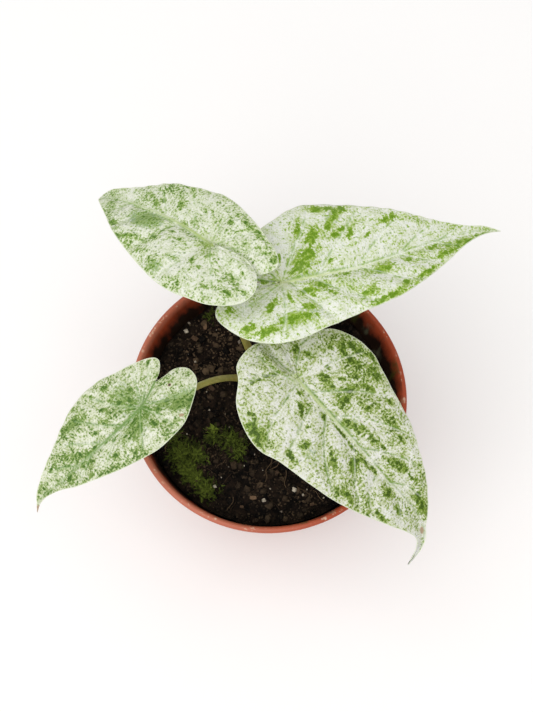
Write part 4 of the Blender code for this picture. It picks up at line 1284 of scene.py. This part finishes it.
def strew(name, models, copies, material, smooth=None):
    """Hands in one piece of the soil that is made of many copies."""
    points, faces, tones = join_copies(models, copies)
    mesh = bpy.data.meshes.new(name)
    mesh.from_pydata((points * MM).tolist(), [], faces.tolist())
    store(mesh, "tone", tones)
    piece = bpy.data.objects.new(name, mesh)
    bpy.context.scene.collection.objects.link(piece)
    if smooth:
        pick(piece)
        bpy.ops.object.shade_smooth_by_angle(angle=math.radians(smooth))
    hand_in(piece, [material])


def lie(x, y, lift):
    return (x, y, soil_top(x, y) + lift)


def random_place(reach):
    """A place on the soil within reach of its middle, and how far it is from the corm."""
    radius = reach * math.sqrt(random.random())
    angle = random.uniform(0.0, math.tau)
    x, y = radius * math.cos(angle), radius * math.sin(angle)
    return x, y, math.hypot(x - PLANT_X, y - PLANT_Y) - NECK_RADIUS


def random_turn(lean, twisted=False):
    """A turn to any side, leaning by up to the given angle."""
    heading = random.uniform(0, ANY_TURN)
    lean = random.uniform(-lean, lean)
    return turn_matrix(heading, lean, random.uniform(0, ANY_TURN) if twisted else 0.0)


# %% [markdown]
# ## Crumbs
# A crumb of peat is a lump, so it starts as a ball whose points noise moves in and out. Nearly all
# are well under a millimetre. Where the soil has dried at the back, more of them are pale.

# %% Crumbs
CRUMBS = 6000
LARGE_SHARE = 0.05
DRY_PLACE = (-22.0, 20.0)
DRY_REACH = 15.0


def rough_ball(subdivisions, seed, roughness):
    bpy.ops.mesh.primitive_ico_sphere_add(subdivisions=subdivisions, radius=1.0)
    ball = bpy.context.object
    points = get_points(ball.data)
    for index, point in enumerate(points):
        lump = noise.noise(Vector(point) * 1.3 + Vector((seed * 7.1, 0.0, 0.0)))
        points[index] = point * (1.0 + roughness * lump)
    set_points(ball.data, points)
    return ball


random.seed(7)
noise.seed_set(7)  # without it noise vectors would start from the clock
crumbs = [triangles_of(rough_ball(1, seed, 0.8)) for seed in range(6)]
crumbs += [triangles_of(rough_ball(2, seed, 0.65)) for seed in range(6, 9)]
copies = []
for index in range(CRUMBS):
    x, y, clear = random_place(soil_radius - 1.2)
    if clear < 0.4:
        continue
    large = random.random() < LARGE_SHARE
    size = random.uniform(0.8, 1.7) if large else random.uniform(0.2, 0.65)
    squash = (size, size * random.uniform(0.7, 1.0), size * random.uniform(0.6, 0.9))
    matrix = random_turn(0.6, True)
    dry = noise.noise(Vector((x * 0.07, y * 0.07, 9.0)))
    dusty = math.exp(-((x - DRY_PLACE[0]) / DRY_REACH) ** 2 - ((y - DRY_PLACE[1]) / DRY_REACH) ** 2)
    tone = min(1.0, max(0.0, random.gauss(0.18 + 0.45 * dry + 0.45 * dusty, 0.2 + 0.2 * dusty)))
    model = random.randrange(6, 9) if large else random.randrange(6)
    copies.append((model, lie(x, y, size * 0.25), squash, matrix, tone))
strew("soil_crumbs", crumbs, copies, crumb_peat, smooth=70.0)

# %% [markdown]
# ## Bark and grit
# Bark chips are slabs with worn corners that have curled a little, and grit is as lumpy as the
# crumbs but pale. The ones that catch the eye lie where they lie on the real soil.

# %% Bark and grit
LOOSE_REACH = 46.0
BARK_CHIPS = 60
GRAINS = 60
# x, y, half length, heading in degrees, tone: bark that catches the eye
BARK_BITS = [(-0.5, -37.8, 1.1, 10, 0.7), (-29.7, 28.7, 1.0, 100, 0.8), (-33.0, 23.4, 1.3, -25, 0.4),
             (-22.7, 2.8, 1.2, -35, 0.25), (21.9, -36.6, 0.8, 20, 0.3), (-4.2, -41.4, 0.7, 0, 0.3),
             (-23.5, 11.6, 0.9, 70, 0.2), (-30.5, 11.4, 0.8, 0, 0.35), (7.0, -27.0, 1.0, 80, 0.15)]
# x, y, size, tone: pale grit
GRIT = [(3.7, -38.0, 0.85, 0.5), (14.4, -32.2, 0.95, 0.85), (-36.8, 25.7, 0.95, 0.7),
        (-40.6, 28.6, 0.6, 0.4), (-15.7, -34.9, 0.7, 0.9), (-36.2, 29.2, 0.6, 0.2),
        (-31.0, 13.0, 0.5, 0.5), (-15.0, 23.6, 0.7, 0.15), (18.0, -33.5, 0.5, 0.5)]


def chip_model(seed):
    """A flat piece of bark: a slab with worn corners, a little curved."""
    bpy.ops.mesh.primitive_cube_add(size=2.0)
    chip = bpy.context.object
    chip.scale = (1.0, 0.55, 0.2)
    pick(chip)
    bpy.ops.object.transform_apply(location=False, rotation=False, scale=True)
    with edit_mode(chip):
        bpy.ops.mesh.subdivide(number_cuts=1, smoothness=0.5)
    points = get_points(chip.data)
    for index, point in enumerate(points):
        lump = noise.noise_vector(Vector(point) * 1.4 + Vector((seed * 5.3, 0.0, 0.0)))
        points[index] = point + np.array(lump) * (0.22, 0.22, 0.1)
    points[:, 2] += 0.3 * points[:, 0] ** 2
    set_points(chip.data, points)
    return chip


chips = [triangles_of(chip_model(seed)) for seed in range(4)]
copies = []
for x, y, size, heading, tone in BARK_BITS:
    matrix = turn_matrix(math.radians(heading), random.uniform(-0.3, 0.3))
    copies.append((random.randrange(4), lie(x, y, 0.5), size, matrix, tone))
for index in range(BARK_CHIPS):
    x, y, clear = random_place(LOOSE_REACH)
    if clear >= 2.0:
        matrix = random_turn(0.5)
        copies.append((random.randrange(4), lie(x, y, 0.4), random.uniform(0.5, 1.3), matrix,
                       max(0.0, random.gauss(0.0, 0.15))))
strew("bark_chips", chips, copies, bark)

copies = [(random.randrange(6, 9), lie(x, y, 0.8), (size, size * 0.8, size * 0.7),
           turn_matrix(random.uniform(0, ANY_TURN), 0.2), tone) for x, y, size, tone in GRIT]
for index in range(GRAINS):
    x, y, clear = random_place(LOOSE_REACH)
    size = random.uniform(0.2, 0.45)
    copies.append((random.randrange(6), lie(x, y, 0.7), size,
                   turn_matrix(random.uniform(0, ANY_TURN), 0.3), random.uniform(0.0, 0.7)))
strew("grit", crumbs, copies, perlite)

# %% [markdown]
# ## Tubes and root fibres
# Stalks, root ends and moss stems are all soft tubes. A grid is rolled up round a smooth line:
# its rows follow the line and its columns go round it. Doubled points close the seam, and rows
# of no width close the ends. The first tubes are the fine roots and twigs on the soil.


# %% Roll a tube
TUBE_WELD = 0.000001


def tube(name, line, radii, around):
    """A closed tube along a line of points, in the line's units, with a radius at each point.

    radii has one number for each point, or one for each point and each place round it.
    """
    line = np.asarray(line, float)
    radii = np.asarray(radii, float)
    if radii.ndim == 1:
        radii = np.repeat(radii[:, None], around + 1, axis=1)
    line = np.vstack([line[:1], line, line[-1:]])
    radii = np.vstack([radii[:1] * 0.0, radii, radii[-1:] * 0.0])
    ahead = np.gradient(line, axis=0)
    ahead[0], ahead[-1] = ahead[1], ahead[-2]
    ahead /= np.linalg.norm(ahead, axis=1, keepdims=True)
    side = np.cross(ahead[0], (0.0, 1.0, 0.0) if abs(ahead[0][1]) < 0.9 else (1.0, 0.0, 0.0))
    sides = []
    for direction in ahead:
        side = side - direction * np.dot(side, direction)
        side = side / np.linalg.norm(side)
        sides.append(side)
    sides = np.array(sides)
    others = np.cross(ahead, sides)
    turn = np.linspace(0.0, math.tau, around + 1)
    ring = (np.cos(turn)[None, :, None] * sides[:, None] + np.sin(turn)[None, :, None]
            * others[:, None])
    piece, row, column = lay_grid(name, line[:, None] + ring * radii[..., None])
    store(piece.data, "run", row / row.max())
    with edit_mode(piece):
        bpy.ops.mesh.remove_doubles(threshold=TUBE_WELD)
        bpy.ops.mesh.normals_make_consistent(inside=False)
    return piece


# %% Root fibres
FIBRE_RADIUS = 0.035
FIBRES = 90
# x, y, half length, heading in degrees, tone: root ends and twigs
TWIGS = [(3.7, -26.5, 5.0, 78, 0.3), (10.5, -28.0, 4.0, 100, 0.35), (23.8, -33.2, 2.8, -40, 0.7),
         (-34.0, -17.5, 3.6, 25, 0.5), (-36.5, -23.0, 1.8, 80, 0.9), (-27.5, -29.5, 1.6, 95, 0.8),
         (6.5, -22.0, 4.0, 55, 0.2)]
fibres = []
for seed in range(4):
    rng = np.random.default_rng(seed + 20)
    bends = [(t, rng.normal(0, 0.09), abs(rng.normal(0, 0.04))) for t in np.linspace(-1, 1, 6)]
    curve = smooth_line(bends, 3)
    fibres.append(triangles_of(tube("fibre_%d" % seed, curve, np.full(len(curve), FIBRE_RADIUS), 5)))
copies = [(random.randrange(4), lie(x, y, 1.2), size,
           turn_matrix(math.radians(heading), random.uniform(-0.15, 0.15)), tone)
          for x, y, size, heading, tone in TWIGS]
for index in range(FIBRES):
    x, y, clear = random_place(LOOSE_REACH - 2.0)
    size = random.uniform(1.5, 4.5)
    matrix = random_turn(0.35)
    copies.append((random.randrange(4), lie(x, y, 0.9), size, matrix,
                   max(0.0, random.gauss(0.15, 0.25))))
strew("root_fibres", fibres, copies, fibre)

# %% [markdown]
# ## Moss
# Feather moss has settled on the damp side. A frond is a thin stem with two rows of narrow leaflets that get
# shorter to its tip. The frond is modelled once, and a few hundred of them stand in round tufts: long and
# pale green in the middle, shorter, darker and leaning outwards at the edge. The paler middle and darker
# edge are painted light and shade, which round each tuft on top of its own tone.

# %% Moss fronds
bpy.ops.mesh.primitive_plane_add(size=1.0)
leaflet = bpy.context.object
set_points(leaflet.data, [(0.0, 0.0, 0.0), (0.45, -0.14, 0.05), (0.45, 0.14, 0.05),
                          (1.0, 0.0, -0.05)])
leaflet = triangles_of(leaflet)
LEAFLETS = 18


def frond_model(seed):
    """A frond of height 1 along Z, bowed to +X, with leaflets on both sides."""
    rng = np.random.default_rng(seed)
    bow = 0.25 + 0.2 * rng.random()
    line = [(bow * t ** 2, 0.0, t) for t in np.linspace(0.0, 1.0, 4)]
    stem = triangles_of(tube("frond_stem", line, np.linspace(0.022, 0.008, 4), 3))
    copies = [(0, (0.0, 0.0, 0.0), 1.0, np.eye(3), 0.0)]
    for index in range(LEAFLETS):
        t = 0.12 + 0.86 * index / (LEAFLETS - 1)
        side = 1 if index % 2 else -1
        heading = side * math.radians(70 + rng.normal(0, 10))
        length = (0.34 - 0.22 * t) * (0.85 + 0.3 * rng.random())
        matrix = turn_matrix(heading, math.radians(-38 + rng.normal(0, 8)))
        copies.append((1, (bow * t ** 2, 0.0, t), length, matrix, 0.0))
    return join_copies([stem, leaflet], copies)[:2]


fronds = [frond_model(seed) for seed in range(3)]
# x, y, radius, number of fronds, tone: tufts of moss
TUFTS = [(-31.0, -24.0, 5.5, 330, 0.40), (-27.0, -30.5, 5.0, 260, 0.42), (-34.5, -17.5, 4.0, 120, 0.34),
         (-18.6, -36.8, 4.2, 200, 0.46), (-12.0, -17.0, 5.0, 220, 0.30), (-19.5, -15.5, 3.5, 70, 0.35),
         (-29.4, 34.5, 4.0, 110, 0.30), (-8.5, -20.5, 3.5, 110, 0.34), (-24.0, -24.0, 4.5, 120, 0.30),
         (-23.5, -33.5, 3.5, 110, 0.44), (-19.4, -13.6, 0.6, 14, 1.0)]
MOSS_REACH = soil_radius - 2.5
copies = []
for x0, y0, spread, number, tone in TUFTS:
    for index in range(number):
        away = min(1.6, abs(random.gauss(0.0, 0.6)))
        angle = random.uniform(0.0, math.tau)
        x = x0 + spread * away * math.cos(angle)
        y = y0 + spread * away * math.sin(angle)
        if math.hypot(x, y) > MOSS_REACH:
            continue
        length = random.uniform(1.6, 3.6) * (1.25 - 0.35 * away)
        lean = random.uniform(0.1, 0.6) + 0.45 * away
        matrix = turn_matrix(random.gauss(angle, 0.9), lean, random.uniform(0, ANY_TURN))
        # Paler in the middle and darker at the edge: painted light and shade that rounds each tuft, on top
        # of its own tone
        green = min(1.0, max(0.0, random.gauss(tone + 0.32 * (0.5 - away), 0.15)))
        copies.append((random.randrange(3), lie(x, y, -0.3), length, matrix, green))
strew("moss", fronds, copies, moss_green)

# %% [markdown]
# ## The corm
# The stalks rise from a corm, a short swollen stem that is half sunk in the soil. Its skin is
# brown and ringed by the scars of old leaves.

# %% Corm
section = smooth_line(corm_section()[2:-1], 8)
section = [(0.0, CORM_TOP), (NECK_RADIUS * 0.5, CORM_TOP)] + [tuple(p) for p in section]
section = [(r * (1.0 + (0.02 * math.sin(h * 4.2) if r > 4 else 0.0)), h) for r, h in section]
corm = spin_section("corm_body", section + [(0.0, CORM_BASE)], 64)
corm.location = (PLANT_X * MM, PLANT_Y * MM, 0.0)
bpy.ops.object.shade_smooth_by_angle(angle=math.radians(50.0))
corm_skin = toned_material("Corm skin", "#3A2616", "#7E5F3C", 0.8, 400.0, 0.0004)
hand_in(corm, [corm_skin], ["corm"])

# %% [markdown]
# ## The leaf stalks
# A stalk is stout at its foot, where it wraps the corm with a shallow channel on the inner side,
# and slim and round where it carries the blade. It goes up through its own bends and meets the
# blade at the back of the junction.

# %% Stalks
STALK_CIRCLE = 3.7
FIRST_SEAT = 140.0
STALK_BASE_RADIUS = 2.3
STALK_LEAD = 5.0
STALK_STEPS = 110
AROUND = 28
CHANNEL = 0.28
CHANNEL_WIDTH = 0.55


def stalk_line(seat, leaf):
    angle = math.radians(FIRST_SEAT - 90.0 * seat)
    base = np.array((PLANT_X + STALK_CIRCLE * math.cos(angle),
                     PLANT_Y + STALK_CIRCLE * math.sin(angle), CORM_TOP + GAP))
    junction, _, normal = midrib_frame(leaf, np.array(0.0))
    end = junction - normal * (RIB + GAP)
    rise = base + (0.0, 0.0, STALK_LEAD)
    line = smooth_line([base, rise, *leaf["stalk"], end - normal * STALK_LEAD, end])
    return line, junction - normal * 0.7


stalk_skin = new_material("Leaf stalk skin")
node = partial(add_node, stalk_skin)
run = node("Attribute", attribute_name="run").outputs["Fac"]
place = node("TexCoord").outputs["Object"]
long_way = node("VectorMath", {0: place, 1: (1.0, 1.0, 0.25)}, operation="MULTIPLY")
streak = node("TexNoise", {"Vector": long_way, "Scale": 900.0, "Detail": 4.0})
streaks = node("MapRange", {"Value": streak, "From Min": 0.35, "From Max": 0.68})
spot = node("TexNoise", {"Vector": place, "Scale": 330.0, "Detail": 2.0})
spot = node("MapRange", {"Value": spot, "From Min": 0.68, "From Max": 0.72, "To Max": 0.7})
skin = colour("#64581C")
for share, tint in ((streaks, "#968840"), (run, "#9C9A50"), (spot, "#7A4B25")):
    skin = node("Mix", {"Factor": share, "A": skin, "B": colour(tint)}, data_type="RGBA")
relief = node("Bump", {"Height": streak, "Distance": 0.00012, "Strength": 0.6})
finish_surface(stalk_skin, {"Base Color": skin, "Roughness": 0.45, "Normal": relief,
                            "Subsurface Weight": 0.1, "Subsurface Scale": 0.001})

for seat, (leaf_name, leaf) in enumerate(LEAVES.items()):
    line, end = stalk_line(seat, leaf)
    share = np.linspace(0.0, 1.0, STALK_STEPS)
    line = np.vstack([at_share(line, share), end])
    share = np.r_[share, 1.0]
    slim = STALK_BASE_RADIUS + (leaf["stalk_radius"] - STALK_BASE_RADIUS) * ease(share, 0.0, 0.45)
    turn = np.linspace(0.0, math.tau, AROUND + 1)
    channel = CHANNEL * bell(np.minimum(turn, math.tau - turn), CHANNEL_WIDTH)
    slim[-1] *= 0.2
    radii = slim[:, None] * (1.0 - channel[None, :] * (1.0 - ease(share, 0.1, 0.4))[:, None])
    stalk = tube("petiole_" + leaf_name, line * MM, radii * MM, AROUND)
    bpy.ops.object.shade_smooth_by_angle(angle=math.radians(60.0))
    hand_in(stalk, [stalk_skin], ["stalk_" + leaf_name])
